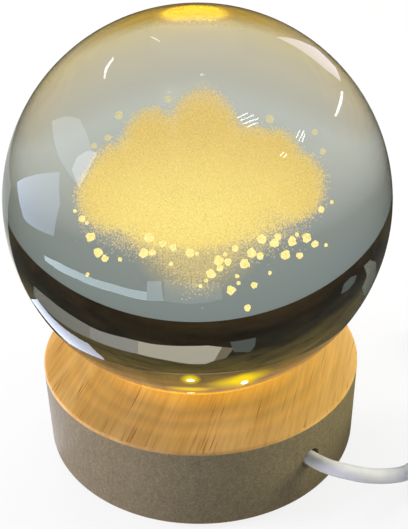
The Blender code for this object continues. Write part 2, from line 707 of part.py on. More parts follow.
# LED board with its parts
def led_board():
    profile = [(0, BOARD_TOP), (BOARD_RADIUS, BOARD_TOP), (BOARD_RADIUS, BOARD_BOTTOM), (0, BOARD_BOTTOM)]
    turned("led_board", profile, BOARD_LACQUER, steps=64, closed=False)
    seat = BOARD_TOP + CLEARANCE
    body = slab(
        "led_body",
        (-LED_WIDTH / 2, -LED_LENGTH / 2, 0),
        (LED_WIDTH / 2, LED_LENGTH / 2, LED_HEIGHT),
        edge=SMALL_EDGE,
        edge_segments=1,
    )
    lens_places = around(LED_COUNT, LED_RING_RADIUS, math.radians(LED_FIRST_DEG), seat)
    top = seat + LED_HEIGHT
    for number, place in enumerate(lens_places, start=1):
        one = body.copy()
        one.transform(place)
        led = place_mesh(f"led_{number}", one, LED_LIT)
        drill(led, f"led_lens_{number}", [place], LED_LENS_RADIUS, top - LED_LENS_DEPTH, top + OVERRUN)
    chip = slab(
        "chip",
        (-RESISTOR_LENGTH / 2, -RESISTOR_WIDTH / 2, 0),
        (RESISTOR_LENGTH / 2, RESISTOR_WIDTH / 2, RESISTOR_HEIGHT),
    )
    chip_places = [Matrix.Translation((0, side * RESISTOR_PITCH / 2, seat)) for side in (-1, 1)]
    copies("board_resistor", chip, chip_places, RESISTOR_BLACK)


def inner_wires():
    """From the end of the jacket, down beside the cup, under it and up to the board's underside."""
    under = CUP_BOTTOM - WIRE_DROP
    route = [
        (JACKET_END - CLEARANCE, CORD_HOLE_HEIGHT),
        (JACKET_END - WIRE_DIAMETER, CORD_HOLE_HEIGHT - WIRE_RADIUS / 2),
        (CUP_OUTER_RADIUS + 2 * WIRE_DIAMETER, CORD_HOLE_HEIGHT - 2 * WIRE_DIAMETER),
        (CUP_OUTER_RADIUS + WIRE_DIAMETER + CLEARANCE, CUP_BOTTOM - WIRE_RADIUS),
        (CUP_INNER_RADIUS - WIRE_RADIUS, under),
        (CUP_LEDGE_RADIUS / 2, under - WIRE_RADIUS),
        (WIRE_PAD_RADIUS + WIRE_DIAMETER, under),
        (WIRE_PAD_RADIUS, CUP_FLOOR - WIRE_DIAMETER),
        (WIRE_PAD_RADIUS, BOARD_BOTTOM - CLEARANCE),
    ]
    for side, name, material in ((-1, "wire_red", RED_PVC), (1, "wire_black", BLACK_PVC)):
        shift = SIDEWAYS * (side * WIRE_SPACING / 2)
        points = [OUTWARD * r + shift + UP * z for r, z in route]
        tube(name, smooth_route(points, WIRE_DIAMETER), WIRE_DIAMETER, material, resolution=1)


def inner_tie():
    """A cable tie drawn round the jacket, close against the inside of the wall, its lock hanging down."""
    inner = CORD_RADIUS + CLEARANCE
    outer = inner + TIE_THICKNESS
    half = TIE_WIDTH / 2
    section = [(inner, half), (outer, half), (outer, -half), (inner, -half)]
    band = turned("inner_tie", section, NYLON, steps=TIE_STEPS)
    lock = slab(
        "tie_lock",
        (inner + TIE_THICKNESS / 2, -TIE_LOCK_WIDTH / 2, -half),
        (inner + TIE_LOCK_REACH, TIE_LOCK_WIDTH / 2, half),
        corner=TIE_LOCK_CORNER,
        corner_segments=2,
    )
    lock_piece = place_cutter("tie_lock", lock)
    combine(band, lock_piece, "UNION")
    wall = math.sqrt(POCKET_RADIUS**2 - outer**2)
    seat = OUTWARD * (wall - CLEARANCE - half) + UP * CORD_HOLE_HEIGHT
    along_lead = Matrix((-UP, SIDEWAYS, OUTWARD)).transposed().to_4x4()
    for piece in (band, lock_piece):
        piece.matrix_world = Matrix.Translation(seat) @ along_lead


# Lead
def coil_points():
    """Turns in layers that spiral in and out in turn, with a climb in the half turn between two layers."""
    count = round(COIL_TURNS * COIL_POINTS_A_TURN)
    layer_and_climb = COIL_LAYER_TURNS + 1 / 2
    points = []
    for i in range(count + 1):
        turns = COIL_TURNS * i / count
        layer = min(int(turns / layer_and_climb), COIL_LAYERS - 1)
        into = turns - layer * layer_and_climb
        spiral = min(into, COIL_LAYER_TURNS) * COIL_TURN_PITCH
        climb = max(0, into - COIL_LAYER_TURNS) * 2
        radius = COIL_OUTER_TURN_RADIUS - spiral if layer % 2 == 0 else COIL_INNER_TURN_RADIUS + spiral
        angle = math.radians(COIL_START_DEG) - math.tau * turns
        x = COIL_CENTRE[0] + radius * math.cos(angle)
        y = COIL_CENTRE[1] + radius * math.sin(angle)
        points.append(Vector((x, y, COIL_BOTTOM_TURN + (layer + climb) * COIL_LAYER_PITCH)))
    return points


def coil_heading(turns):
    """The way that the lead runs after so many turns, clockwise as seen from above."""
    angle = math.radians(COIL_START_DEG) - math.tau * turns
    return Vector((math.sin(angle), -math.cos(angle), 0))


def least_gap(points):
    """Least space between the coil's own turns, measured on its points."""
    places = numpy.array([tuple(p) for p in points])
    order = numpy.arange(len(places))
    apart = numpy.linalg.norm(places[:, None] - places[None], axis=2)
    far_along = numpy.abs(order[:, None] - order[None]) > COIL_POINTS_A_TURN / 2
    return apart[far_along].min() - CORD_DIAMETER


def lead():
    turns = coil_points()
    first = turns[0] - coil_heading(0) * CORD_DIAMETER
    last = turns[-1] + coil_heading(COIL_TURNS) * CORD_DIAMETER
    coil = [first, *turns, last]
    level = UP * CORD_HOLE_HEIGHT
    hole = [OUTWARD * r + level for r in (JACKET_END, (POCKET_RADIUS + BLOCK_RADIUS) / 2, BLOCK_RADIUS)]
    spacing = 2 * CORD_DIAMETER
    run = smooth_route([*hole, *RUN_ROUTE, first - coil_heading(0) * CLEARANCE], spacing)
    switch_x, switch_y = SWITCH_CENTRE
    near_end = switch_x + SWITCH_LENGTH / 2
    far_end = switch_x - SWITCH_LENGTH / 2
    tail_route = [
        last + coil_heading(COIL_TURNS) * CLEARANCE,
        *TAIL_ROUTE,
        (near_end + FREE_END_LENGTH / 2, switch_y, SWITCH_CORD_HEIGHT),
        (near_end, switch_y, SWITCH_CORD_HEIGHT),
        (near_end - SWITCH_CORD_GRIP, switch_y, SWITCH_CORD_HEIGHT),
    ]
    plug_x, plug_y = PLUG_PLACE
    plug_z = PLUG_HEIGHT / 2
    lead_route = [
        (far_end + SWITCH_CORD_GRIP, switch_y, SWITCH_CORD_HEIGHT),
        (far_end, switch_y, SWITCH_CORD_HEIGHT),
        *LEAD_ROUTE,
        (plug_x - FREE_END_LENGTH, plug_y, plug_z),
        (plug_x, plug_y, plug_z),
        (plug_x + PLUG_CORD_GRIP, plug_y, plug_z),
    ]
    stretches = {
        "cord_run": run,
        "cord_coil": coil,
        "cord_tail": smooth_route(tail_route, spacing),
        "cord_lead": smooth_route(lead_route, spacing),
    }
    for name, points in stretches.items():
        tube(name, points, CORD_DIAMETER, CORD_PVC, resolution=1 if name == "cord_coil" else 2)
        print(f"{name}: {length_of(points):.4f} m on {len(points)} points")
    print(f"coil's least gap: {least_gap(coil) * 1000:.2f} mm")
    print(f"whole lead: {sum(map(length_of, stretches.values())):.3f} m")


def coil_tie():
    """A flat strap round the coil's section, standing under it and up its inner and outer sides."""
    inner_side = math.sqrt((COIL_INNER_TURN_RADIUS - CORD_RADIUS) ** 2 - (STRAP_WIDTH / 2) ** 2)
    low = (inner_side - CLEARANCE, STRAP_THICKNESS)
    high = (COIL_OUTER_TURN_RADIUS + CORD_RADIUS + CLEARANCE, COIL_TOP_TURN + CORD_RADIUS + CLEARANCE)
    outer_low = (low[0] - STRAP_THICKNESS, 0)
    outer_high = (high[0] + STRAP_THICKNESS, high[1] + STRAP_THICKNESS)
    loops = [
        rounded_rectangle(outer_low, outer_high, STRAP_ROUND),
        rounded_rectangle(low, high, STRAP_ROUND - STRAP_THICKNESS),
    ]
    strap = outline_mesh("coil_tie", loops, STRAP_WIDTH)
    strap.transform(Matrix.Rotation(math.radians(STRAP_DEG), 4, "Z") @ UPRIGHT)
    place_mesh("coil_tie", strap, NYLON).location = (*COIL_CENTRE, 0)


# In-line switch
def switch_shells(place):
    half_length, half_width = SWITCH_LENGTH / 2, SWITCH_WIDTH / 2
    cavity_length, cavity_width = half_length - SWITCH_END_BLOCK, half_width - SWITCH_WALL
    far_low = (-half_length - OVERRUN, -half_width - OVERRUN)
    far_high = (half_length + OVERRUN, half_width + OVERRUN)
    cavity_mesh = slab(
        "switch_cavity",
        (-cavity_length, -cavity_width, SWITCH_WALL),
        (cavity_length, cavity_width, SWITCH_HEIGHT - SWITCH_WALL),
        corner=CAVITY_CORNER,
        corner_segments=2,
    )
    cavity = place_cutter("switch_cavity", cavity_mesh, place)
    ends = [(side * (half_length + OVERRUN), 0, SWITCH_CORD_HEIGHT) for side in (-1, 1)]
    bore = place_cutter("switch_bore", rod("switch_bore", CORD_RADIUS + CLEARANCE, *ends, TIE_STEPS), place)
    posts = [
        Matrix.Translation((side * (half_length - POST_INSET), side * POST_OFFSET, 0)) for side in (-1, 1)
    ]
    head_seat = SCREW_HEAD_HEIGHT + CLEARANCE
    tip = head_seat + SWITCH_SCREW_LENGTH + CLEARANCE
    shells = {
        "switch_lower_shell": (SWITCH_SPLIT_HEIGHT, SWITCH_HEIGHT + OVERRUN),
        "switch_upper_shell": (-OVERRUN, SWITCH_SPLIT_HEIGHT + CLEARANCE),
    }
    for name, (cut_low, cut_high) in shells.items():
        body = slab(
            name,
            (-half_length, -half_width, 0),
            (half_length, half_width, SWITCH_HEIGHT),
            corner=SWITCH_CORNER,
            edge=SWITCH_EDGE,
        )
        shell = place_mesh(name, body, SWITCH_PLASTIC, parent=place)
        other_half = slab(f"{name}_cut", (*far_low, cut_low), (*far_high, cut_high))
        combine(shell, place_cutter(f"{name}_cut", other_half, place))
        combine(shell, cavity)
        combine(shell, bore)
        drill(shell, f"{name}_post", posts, SCREW_SHANK_RADIUS + CLEARANCE, -OVERRUN, tip)
        if name == "switch_lower_shell":
            drill(shell, "switch_sink", posts, SCREW_HEAD_RADIUS + CLEARANCE, -OVERRUN, head_seat)
        else:
            window_and_ears(shell, place)
    seats = [post @ Matrix.Translation((0, 0, SCREW_HEAD_HEIGHT)) for post in posts]
    copies("switch_screw", pan_screw("switch_screw", SWITCH_SCREW_LENGTH), seats, STEEL, place)


def window_and_ears(shell, place):
    """The rocker's window, and the two ears under its long sides that take the rocker's stub axles."""
    window = slab(
        "switch_window",
        (-WINDOW_LENGTH / 2, -WINDOW_WIDTH / 2, SWITCH_HEIGHT - SWITCH_WALL - OVERRUN),
        (WINDOW_LENGTH / 2, WINDOW_WIDTH / 2, SWITCH_HEIGHT + OVERRUN),
        corner=WINDOW_CORNER,
        corner_segments=2,
    )
    combine(shell, place_cutter("switch_window", window, place))
    ear_inner = WINDOW_WIDTH / 2 + EAR_SET_BACK
    for side, name in ((-1, "ear_front"), (1, "ear_back")):
        faces = sorted((side * ear_inner, side * (ear_inner + EAR_THICKNESS)))
        ear = slab(
            name,
            (-EAR_WIDTH / 2, faces[0], PIVOT_Z - EAR_DROP),
            (EAR_WIDTH / 2, faces[1], SWITCH_HEIGHT - SWITCH_WALL / 2),
        )
        combine(shell, place_cutter(name, ear, place), "UNION")
    reach = ear_inner + EAR_THICKNESS + CLEARANCE
    axle_ends = [(0, side * reach, PIVOT_Z) for side in (-1, 1)]
    axle_hole = rod("axle_hole", PIVOT_RADIUS + CLEARANCE, *axle_ends, TIE_STEPS)
    combine(shell, place_cutter("axle_hole", axle_hole, place))


def switch_rocker(place):
    """The rocker, its origin on the pivot, at rest tilted with its lamp end down."""
    half = WINDOW_LENGTH / 2 - ROCKER_END_PLAY
    sag = ROCKER_RISE - ROCKER_DIP
    bend = (half**2 + sag**2) / (2 * sag)
    sweep = math.degrees(math.asin(half / bend))
    outline = [
        *arc((0, ROCKER_DIP + bend), bend, 270 - sweep, 270 + sweep, 8),
        (half, -ROCKER_SKIRT),
        (-half, -ROCKER_SKIRT),
    ]
    width = WINDOW_WIDTH / 2 - CLEARANCE
    body = outline_mesh("switch_rocker", [outline], 2 * width)
    body.transform(UPRIGHT)
    rocker = place_mesh("switch_rocker", body, SWITCH_PLASTIC, parent=place)
    inset = width - CLEARANCE
    boss, nub = ROCKER_BOSS_WIDTH / 2, NUB_WIDTH / 2
    reach = WINDOW_WIDTH / 2 + EAR_SET_BACK + EAR_THICKNESS
    added = {
        "rocker_boss": slab("rocker_boss", (-boss, -inset, -ROCKER_BOSS_DEPTH), (boss, inset, 0)),
        "rocker_nub": slab(
            "rocker_nub", (NUB_OFFSET - nub, -inset, -NUB_DEPTH), (NUB_OFFSET + nub, inset, 0)
        ),
        "rocker_axle": rod("rocker_axle", PIVOT_RADIUS, (0, -reach, 0), (0, reach, 0)),
    }
    rocker_pieces = [rocker]
    for name, mesh in added.items():
        piece = place_cutter(name, mesh, place)
        combine(rocker, piece, "UNION")
        rocker_pieces.append(piece)
    for piece in rocker_pieces:
        piece.location = (0, 0, PIVOT_Z)
        piece.rotation_euler = (0, ROCKER_TILT, 0)


def switch_contacts(place):
    """Two bent brass strips on the floor: the spring's tip lies over the fixed one, under the rocker's nub."""
    nub_edge = NUB_OFFSET + NUB_WIDTH / 2
    nub_bottom = PIVOT_Z - nub_edge * math.sin(ROCKER_TILT) - NUB_DEPTH * math.cos(ROCKER_TILT)
    thick = CONTACT_THICKNESS
    floor = SWITCH_WALL + CLEARANCE
    foot = CONTACT_RISER + CONTACT_FOOT_LENGTH
    spring_top = nub_bottom - CLEARANCE
    fixed_top = spring_top - thick - CLEARANCE
    fixed = [
        (foot, floor),
        (CONTACT_RISER, floor),
        (CONTACT_RISER, fixed_top - thick),
        (CONTACT_TIP, fixed_top - thick),
        (CONTACT_TIP, fixed_top),
        (CONTACT_RISER + thick, fixed_top),
        (CONTACT_RISER + thick, floor + thick),
        (foot, floor + thick),
    ]
    ramp_end = CONTACT_RAMP - CONTACT_RISER
    spring = [
        (-foot, floor),
        (-CONTACT_RISER, floor),
        (ramp_end, spring_top - thick),
        (nub_edge, spring_top - thick),
        (nub_edge, spring_top),
        (ramp_end - thick / 2, spring_top),
        (-CONTACT_RISER - thick / 2, floor + thick),
        (-foot, floor + thick),
    ]
    for name, outline in (("switch_contact_fixed", fixed), ("switch_contact_spring", spring)):
        strip = outline_mesh(name, [outline], CONTACT_WIDTH)
        strip.transform(UPRIGHT)
        place_mesh(name, strip, BRASS, parent=place)


def switch_wires(place):
    far_route = [(-x, y, z) for x, y, z in RED_WIRE_ROUTE]
    routes = {
        "switch_black_wire": (BLACK_WIRE_ROUTE, BLACK_PVC),
        "switch_red_wire_near": (RED_WIRE_ROUTE, RED_PVC),
        "switch_red_wire_far": (far_route, RED_PVC),
    }
    for name, (route, material) in routes.items():
        points = smooth_route(route, WIRE_DIAMETER)
        tube(name, points, WIRE_DIAMETER, material, resolution=1, parent=place)


# Plug
def plug_overmould(place):
    body = slab(
        "plug_overmould",
        (RELIEF_LENGTH, -PLUG_WIDTH / 2, -PLUG_HEIGHT / 2),
        (PLUG_NOSE, PLUG_WIDTH / 2, PLUG_HEIGHT / 2),
        corner=PLUG_CORNER,
        edge=PLUG_EDGE,
        long_axis=0,
    )
    overmould = place_mesh("plug_overmould", body, CORD_PVC, parent=place)
    pitch = RELIEF_LENGTH / (RELIEF_RIBS + 1 / 2)
    profile = [(0, 0), (RELIEF_TIP_RADIUS, 0)]
    for rib in range(RELIEF_RIBS):
        low = (rib + 1 / 2) * pitch
        radius = RELIEF_TIP_RADIUS + (RELIEF_ROOT_RADIUS - RELIEF_TIP_RADIUS) * low / RELIEF_LENGTH
        profile += [
            (radius, low),
            (radius - RELIEF_GROOVE, low),
            (radius - RELIEF_GROOVE, low + pitch / 2),
            (radius, low + pitch / 2),
        ]
    inside = RELIEF_LENGTH + OVERRUN
    profile += [(RELIEF_ROOT_RADIUS, RELIEF_LENGTH), (RELIEF_ROOT_RADIUS, inside), (0, inside)]
    relief = turned_mesh("plug_relief", profile, RELIEF_STEPS)
    relief.transform(Matrix.Rotation(math.pi / 2, 4, "Y"))
    combine(overmould, place_cutter("plug_relief", relief, place), "UNION")
    bore_end = (PLUG_CORD_GRIP + CLEARANCE, 0, 0)
    bore = rod("plug_bore", CORD_RADIUS + CLEARANCE, (-OVERRUN, 0, 0), bore_end, RELIEF_STEPS)
    combine(overmould, place_cutter("plug_bore", bore, place))
    pocket_width = SHELL_WIDTH / 2 + CLEARANCE
    pocket_height = SHELL_HEIGHT / 2 + CLEARANCE
    pocket = slab(
        "plug_pocket",
        (PLUG_NOSE - SHELL_SEAT_DEPTH, -pocket_width, -pocket_height),
        (PLUG_NOSE + OVERRUN, pocket_width, pocket_height),
        corner=SHELL_CORNER,
        corner_segments=2,
        long_axis=0,
    )
    combine(overmould, place_cutter("plug_pocket", pocket, place))


def plug_shell(place):
    rear = PLUG_NOSE - SHELL_SEAT_DEPTH + CLEARANCE
    tip = PLUG_NOSE + SHELL_LENGTH
    half_width, half_height = SHELL_WIDTH / 2, SHELL_HEIGHT / 2
    inner_width, inner_height = half_width - SHELL_WALL, half_height - SHELL_WALL
    outside = slab(
        "plug_shell",
        (rear, -half_width, -half_height),
        (tip, half_width, half_height),
        corner=SHELL_CORNER,
        corner_segments=2,
        long_axis=0,
    )
    shell = place_mesh("plug_shell", outside, STEEL, parent=place)
    inside = slab(
        "shell_inside",
        (rear - OVERRUN, -inner_width, -inner_height),
        (tip + OVERRUN, inner_width, inner_height),
        corner=SHELL_CORNER - SHELL_WALL,
        corner_segments=2,
        long_axis=0,
    )
    combine(shell, place_cutter("shell_inside", inside, place))
    window_end = tip - SHELL_WINDOW_SET_BACK
    for side, name in ((-1, "latch_window_right"), (1, "latch_window_left")):
        middle = side * SHELL_WINDOW_PITCH / 2
        window = slab(
            name,
            (window_end - SHELL_WINDOW, middle - SHELL_WINDOW / 2, -half_height - OVERRUN),
            (window_end, middle + SHELL_WINDOW / 2, half_height + OVERRUN),
        )
        combine(shell, place_cutter(name, window, place))


def plug_tongue(place):
    """The insulating tongue in the shell's lower half, and the four contact strips on it."""
    rear = PLUG_NOSE - SHELL_SEAT_DEPTH + 2 * CLEARANCE
    tip = PLUG_NOSE + SHELL_LENGTH - TONGUE_SET_BACK
    low = SHELL_WALL + CLEARANCE - SHELL_HEIGHT / 2
    top = low + TONGUE_HEIGHT
    outline = [
        (rear, low),
        (tip, low),
        (tip, top),
        (rear + TONGUE_BLOCK_LENGTH, top),
        (rear + TONGUE_BLOCK_LENGTH, -low),
        (rear, -low),
    ]
    tongue = outline_mesh("plug_tongue", [outline], SHELL_WIDTH - 2 * (SHELL_WALL + CLEARANCE))
    tongue.transform(UPRIGHT)
    place_mesh("plug_tongue", tongue, SWITCH_PLASTIC, parent=place)
    front = tip - STRIP_SET_BACK
    strip = slab(
        "strip",
        (front - STRIP_LENGTH, -STRIP_WIDTH / 2, top + CLEARANCE),
        (front, STRIP_WIDTH / 2, top + CLEARANCE + STRIP_THICKNESS),
    )
    offsets = (-STRIP_OUTER_OFFSET, -STRIP_INNER_OFFSET, STRIP_INNER_OFFSET, STRIP_OUTER_OFFSET)
    places = [Matrix.Translation((0, y, 0)) for y in offsets]
    copies("plug_contact", strip, places, BRASS, place)


# The whole lamp
crystal_ball()
base_block()
bottom_cover()
base_pad()
led_cup()
led_board()
inner_wires()
inner_tie()
lead()
coil_tie()

switch_place = place_empty("switch_place", (*SWITCH_CENTRE, 0))
switch_shells(switch_place)
switch_rocker(switch_place)
switch_contacts(switch_place)
switch_wires(switch_place)

plug_place = place_empty("plug_place", (*PLUG_PLACE, PLUG_HEIGHT / 2))
plug_overmould(plug_place)
plug_shell(plug_place)
plug_tongue(plug_place)
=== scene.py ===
"""Crystal ball lamp: the finish of each piece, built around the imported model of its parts.

Metres, +Z up, the origin on the table under the ball's centre. The lamp is shown lit.
"""

import random
from math import asin, cos, degrees, exp, hypot, pi, radians, sin, sqrt, tan, tau

import bmesh
import bpy
from mathutils import Matrix, Vector


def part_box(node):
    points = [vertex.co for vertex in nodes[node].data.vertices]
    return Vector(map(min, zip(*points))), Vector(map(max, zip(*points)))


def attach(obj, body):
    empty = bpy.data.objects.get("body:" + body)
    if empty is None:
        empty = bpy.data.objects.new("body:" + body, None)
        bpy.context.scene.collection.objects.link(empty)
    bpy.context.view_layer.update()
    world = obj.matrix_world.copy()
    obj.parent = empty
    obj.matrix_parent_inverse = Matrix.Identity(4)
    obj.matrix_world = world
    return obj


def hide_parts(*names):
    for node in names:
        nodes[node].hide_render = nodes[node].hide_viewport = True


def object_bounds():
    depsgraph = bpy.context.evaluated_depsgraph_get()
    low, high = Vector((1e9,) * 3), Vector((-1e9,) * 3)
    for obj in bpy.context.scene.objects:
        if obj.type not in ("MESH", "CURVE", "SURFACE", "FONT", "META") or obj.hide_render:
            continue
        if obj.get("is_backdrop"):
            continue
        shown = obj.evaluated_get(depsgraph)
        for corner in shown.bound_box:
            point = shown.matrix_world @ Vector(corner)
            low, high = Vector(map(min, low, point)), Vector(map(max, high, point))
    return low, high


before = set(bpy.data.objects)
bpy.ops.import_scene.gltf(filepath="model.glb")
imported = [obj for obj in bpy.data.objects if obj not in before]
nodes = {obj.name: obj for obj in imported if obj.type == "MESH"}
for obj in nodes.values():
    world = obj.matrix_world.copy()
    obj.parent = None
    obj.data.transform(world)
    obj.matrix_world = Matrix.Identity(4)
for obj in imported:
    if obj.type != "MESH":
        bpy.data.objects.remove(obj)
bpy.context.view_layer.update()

# Camera
# A hand-held camera a little above the lamp, looking down at it from the front.
CAMERA_PLACE = (0.00110, -0.15981, 0.13905)
CAMERA_PITCH_DEG = 30.98
CAMERA_ROLL_DEG = 0.91
PICTURE_SIZE = (408, 529)
FOCAL_PIXELS = 850


def placed(name, data):
    """A new object at the origin."""
    piece = bpy.data.objects.new(name, data)
    bpy.context.scene.collection.objects.link(piece)
    return piece


camera_data = bpy.data.cameras.new("camera")
camera_data.sensor_width = 36
camera_data.lens = FOCAL_PIXELS / PICTURE_SIZE[1] * camera_data.sensor_width
camera_data.clip_start = 0.01
camera = placed("camera", camera_data)
camera_turn = Matrix.Rotation(radians(90 - CAMERA_PITCH_DEG), 4, "X")
camera_turn = camera_turn @ Matrix.Rotation(-radians(CAMERA_ROLL_DEG), 4, "Z")
camera.matrix_world = Matrix.Translation(CAMERA_PLACE) @ camera_turn
bpy.context.scene.camera = camera


# Lead
# A round two-core lead in white PVC, 3.2 mm thick and 1.4 m long between the lamp and its plug. It leaves the
# base's side, lies down in a curve and is stored in a tied coil; the switch and the plug lie behind.
def linear(hex_colour):
    """A colour written as sRGB hex, in the linear values that the shaders take."""
    shares = [int(hex_colour[i : i + 2], 16) / 255 for i in (1, 3, 5)]
    return (*[s / 12.92 if s <= 0.04045 else ((s + 0.055) / 1.055) ** 2.4 for s in shares], 1)


def feed(node, inputs=None, **named):
    """Gives a node its inputs by number or name: plain values, hex colours or other nodes' outputs."""
    named = {name.replace("_", " "): value for name, value in named.items()}
    for key, value in {**(inputs or {}), **named}.items():
        if isinstance(value, bpy.types.NodeSocket):
            node.id_data.links.new(value, node.inputs[key])
        else:
            node.inputs[key].default_value = linear(value) if isinstance(value, str) else value


def add(kind, inputs=None, tree=None, stops=(), **settings):
    """A node with its inputs, colour stops and settings, in the given tree or the one of its inputs."""
    sockets = [value for value in (inputs or {}).values() if isinstance(value, bpy.types.NodeSocket)]
    node = (tree or sockets[0].id_data).nodes.new("ShaderNode" + kind)
    for name, value in settings.items():
        setattr(node, name, value)
    if stops:
        elements = node.color_ramp.elements
        elements.remove(elements[-1])
    for number, (position, colour) in enumerate(stops):
        stop = elements.new(position) if number else elements[0]
        stop.position = position
        stop.color = linear(colour) if isinstance(colour, str) else (*colour, 1)
    feed(node, inputs)
    return node


def new_material(name, **values):
    """A material with one Principled shader, given its constant values by input name."""
    material = bpy.data.materials.new(name)
    material.use_nodes = True
    shader = material.node_tree.nodes["Principled BSDF"]
    feed(shader, **values)
    return material, material.node_tree, shader


def smooth_route(points, spacing):
    """Even points on a smooth curve through the route's own points, without loops or overshoot."""
    points = [Vector(p) for p in points]
    ends = [2 * points[0] - points[1], *points, 2 * points[-1] - points[-2]]
    fine = 24
    dense = []
    for a, b, c, d in zip(ends, ends[1:], ends[2:], ends[3:]):
        t1 = sqrt((b - a).length)
        t2 = t1 + sqrt((c - b).length)
        t3 = t2 + sqrt((d - c).length)
        for i in range(fine):
            t = t1 + (t2 - t1) * i / fine
            ab = a.lerp(b, t / t1)
            bc = b.lerp(c, (t - t1) / (t2 - t1))
            cd = c.lerp(d, (t - t2) / (t3 - t2))
            abc = ab.lerp(bc, t / t2)
            bcd = bc.lerp(cd, (t - t1) / (t3 - t1))
            dense.append(abc.lerp(bcd, (t - t1) / (t2 - t1)))
    dense.append(points[-1])
    run = [0.0]
    for a, b in zip(dense, dense[1:]):
        run.append(run[-1] + (b - a).length)
    count = max(2, round(run[-1] / spacing))
    route, at = [], 0
    for i in range(count + 1):
        want = run[-1] * i / count
        while at < len(dense) - 2 and run[at + 1] < want:
            at += 1
        route.append(dense[at].lerp(dense[at + 1], (want - run[at]) / (run[at + 1] - run[at])))
    return route


def lead_curve(name, points):
    """A round lead on one open spline."""
    data = bpy.data.curves.new(name, "CURVE")
    data.dimensions = "3D"
    line = data.splines.new("POLY")
    line.points.add(len(points) - 1)
    for point, place in zip(line.points, points):
        point.co = (*place, 1)
    line.use_smooth = True
    data.bevel_depth = CORD_DIAMETER / 2
    data.bevel_resolution = 5
    data.use_fill_caps = True
    data.materials.append(cord_pvc)
    return placed(name, data)


def keep_out_of_glass(piece):
    """The ball would show the stored lead, which lies out of the picture, small at its edge."""
    piece.visible_transmission = False
    piece.visible_glossy = False


CORD_DIAMETER = 0.0032
CORD_AZIMUTH = radians(-50.5)
CORD_HOLE_HEIGHT = 0.0119
JACKET_END = 0.0194
BLOCK_RADIUS = 0.036
WALL_MIDDLE = 0.0295
COIL_CENTRE = (0.0750, -0.0206)
COIL_OUTER_TURN_RADIUS = 0.0231
COIL_TURNS = 11 + 1 / 6
COIL_LAYERS = 4
COIL_TURN_PITCH = 0.0042
COIL_LAYER_PITCH = 0.0040
COIL_BOTTOM_TURN = 0.0025
COIL_START_DEG = 150
COIL_POINTS_A_TURN = 60
LEAD_IN = 0.0035
ROUTE_STEP = 0.001
RUN_ROUTE = [
    (0.0262, -0.0302, 0.0118), (0.0301, -0.0312, 0.0112), (0.0340, -0.0310, 0.0099),
    (0.0377, -0.0298, 0.0084), (0.0411, -0.0280, 0.0068), (0.0441, -0.0257, 0.0052),
    (0.0467, -0.0228, 0.0040), (0.0490, -0.0195, 0.0031), (0.0511, -0.0160, 0.0026),
]
TAIL_ROUTE = [
    (0.0840, 0.0025, 0.0140), (0.0900, 0.0024, 0.0120), (0.0965, 0.0023, 0.0088), (0.1030, 0.0022, 0.0055),
    (0.1090, 0.0022, 0.0031), (0.1145, 0.0022, 0.0020), (0.1195, 0.0024, 0.0018), (0.1233, 0.0034, 0.0018),
    (0.1261, 0.0062, 0.0019), (0.1271, 0.0100, 0.0023), (0.1261, 0.0138, 0.0031), (0.1233, 0.0166, 0.0041),
    (0.1195, 0.0176, 0.0048), (0.1160, 0.0177, 0.0050), (0.1140, 0.0177, 0.0050), (0.1090, 0.0177, 0.0050),
]
LEAD_ROUTE = [
    (0.0770, 0.0177, 0.0050), (0.0720, 0.0177, 0.0050), (0.0680, 0.0177, 0.0049), (0.0641, 0.0188, 0.0044),
    (0.0613, 0.0216, 0.0036), (0.0602, 0.0255, 0.0030), (0.0613, 0.0294, 0.0028), (0.0641, 0.0322, 0.0030),
    (0.0680, 0.0333, 0.0035), (0.0740, 0.0333, 0.0037), (0.0780, 0.0333, 0.0037), (0.0920, 0.0333, 0.0037),
]

coil_layer_turns = (COIL_TURNS - (COIL_LAYERS - 1) / 2) / COIL_LAYERS
coil_inner_turn_radius = COIL_OUTER_TURN_RADIUS - COIL_TURN_PITCH * coil_layer_turns
coil = []
coil_steps = round(COIL_TURNS * COIL_POINTS_A_TURN)
for step in range(coil_steps + 1):
    turns = COIL_TURNS * step / coil_steps
    layer = min(int(turns / (coil_layer_turns + 1 / 2)), COIL_LAYERS - 1)
    into = turns - layer * (coil_layer_turns + 1 / 2)
    spiral = min(into, coil_layer_turns) * COIL_TURN_PITCH
    climb = max(0, into - coil_layer_turns) * 2
    radius = COIL_OUTER_TURN_RADIUS - spiral if layer % 2 == 0 else coil_inner_turn_radius + spiral
    angle = radians(COIL_START_DEG) - tau * turns
    x, y = COIL_CENTRE[0] + radius * cos(angle), COIL_CENTRE[1] + radius * sin(angle)
    coil.append(Vector((x, y, COIL_BOTTOM_TURN + (layer + climb) * COIL_LAYER_PITCH)))
outward = Vector((cos(CORD_AZIMUTH), sin(CORD_AZIMUTH), 0))
hole_height = Vector((0, 0, CORD_HOLE_HEIGHT))
hole_points = [outward * r + hole_height for r in (JACKET_END, WALL_MIDDLE, BLOCK_RADIUS)]
before_coil = coil[0] - (coil[1] - coil[0]).normalized() * LEAD_IN
after_coil = coil[-1] + (coil[-1] - coil[-2]).normalized() * LEAD_IN
run_points = smooth_route([*hole_points, *RUN_ROUTE, before_coil], ROUTE_STEP)
tail_points = smooth_route([after_coil, *TAIL_ROUTE], ROUTE_STEP)
first_lead = [*run_points, *coil, *tail_points]
second_lead = smooth_route(LEAD_ROUTE, ROUTE_STEP)

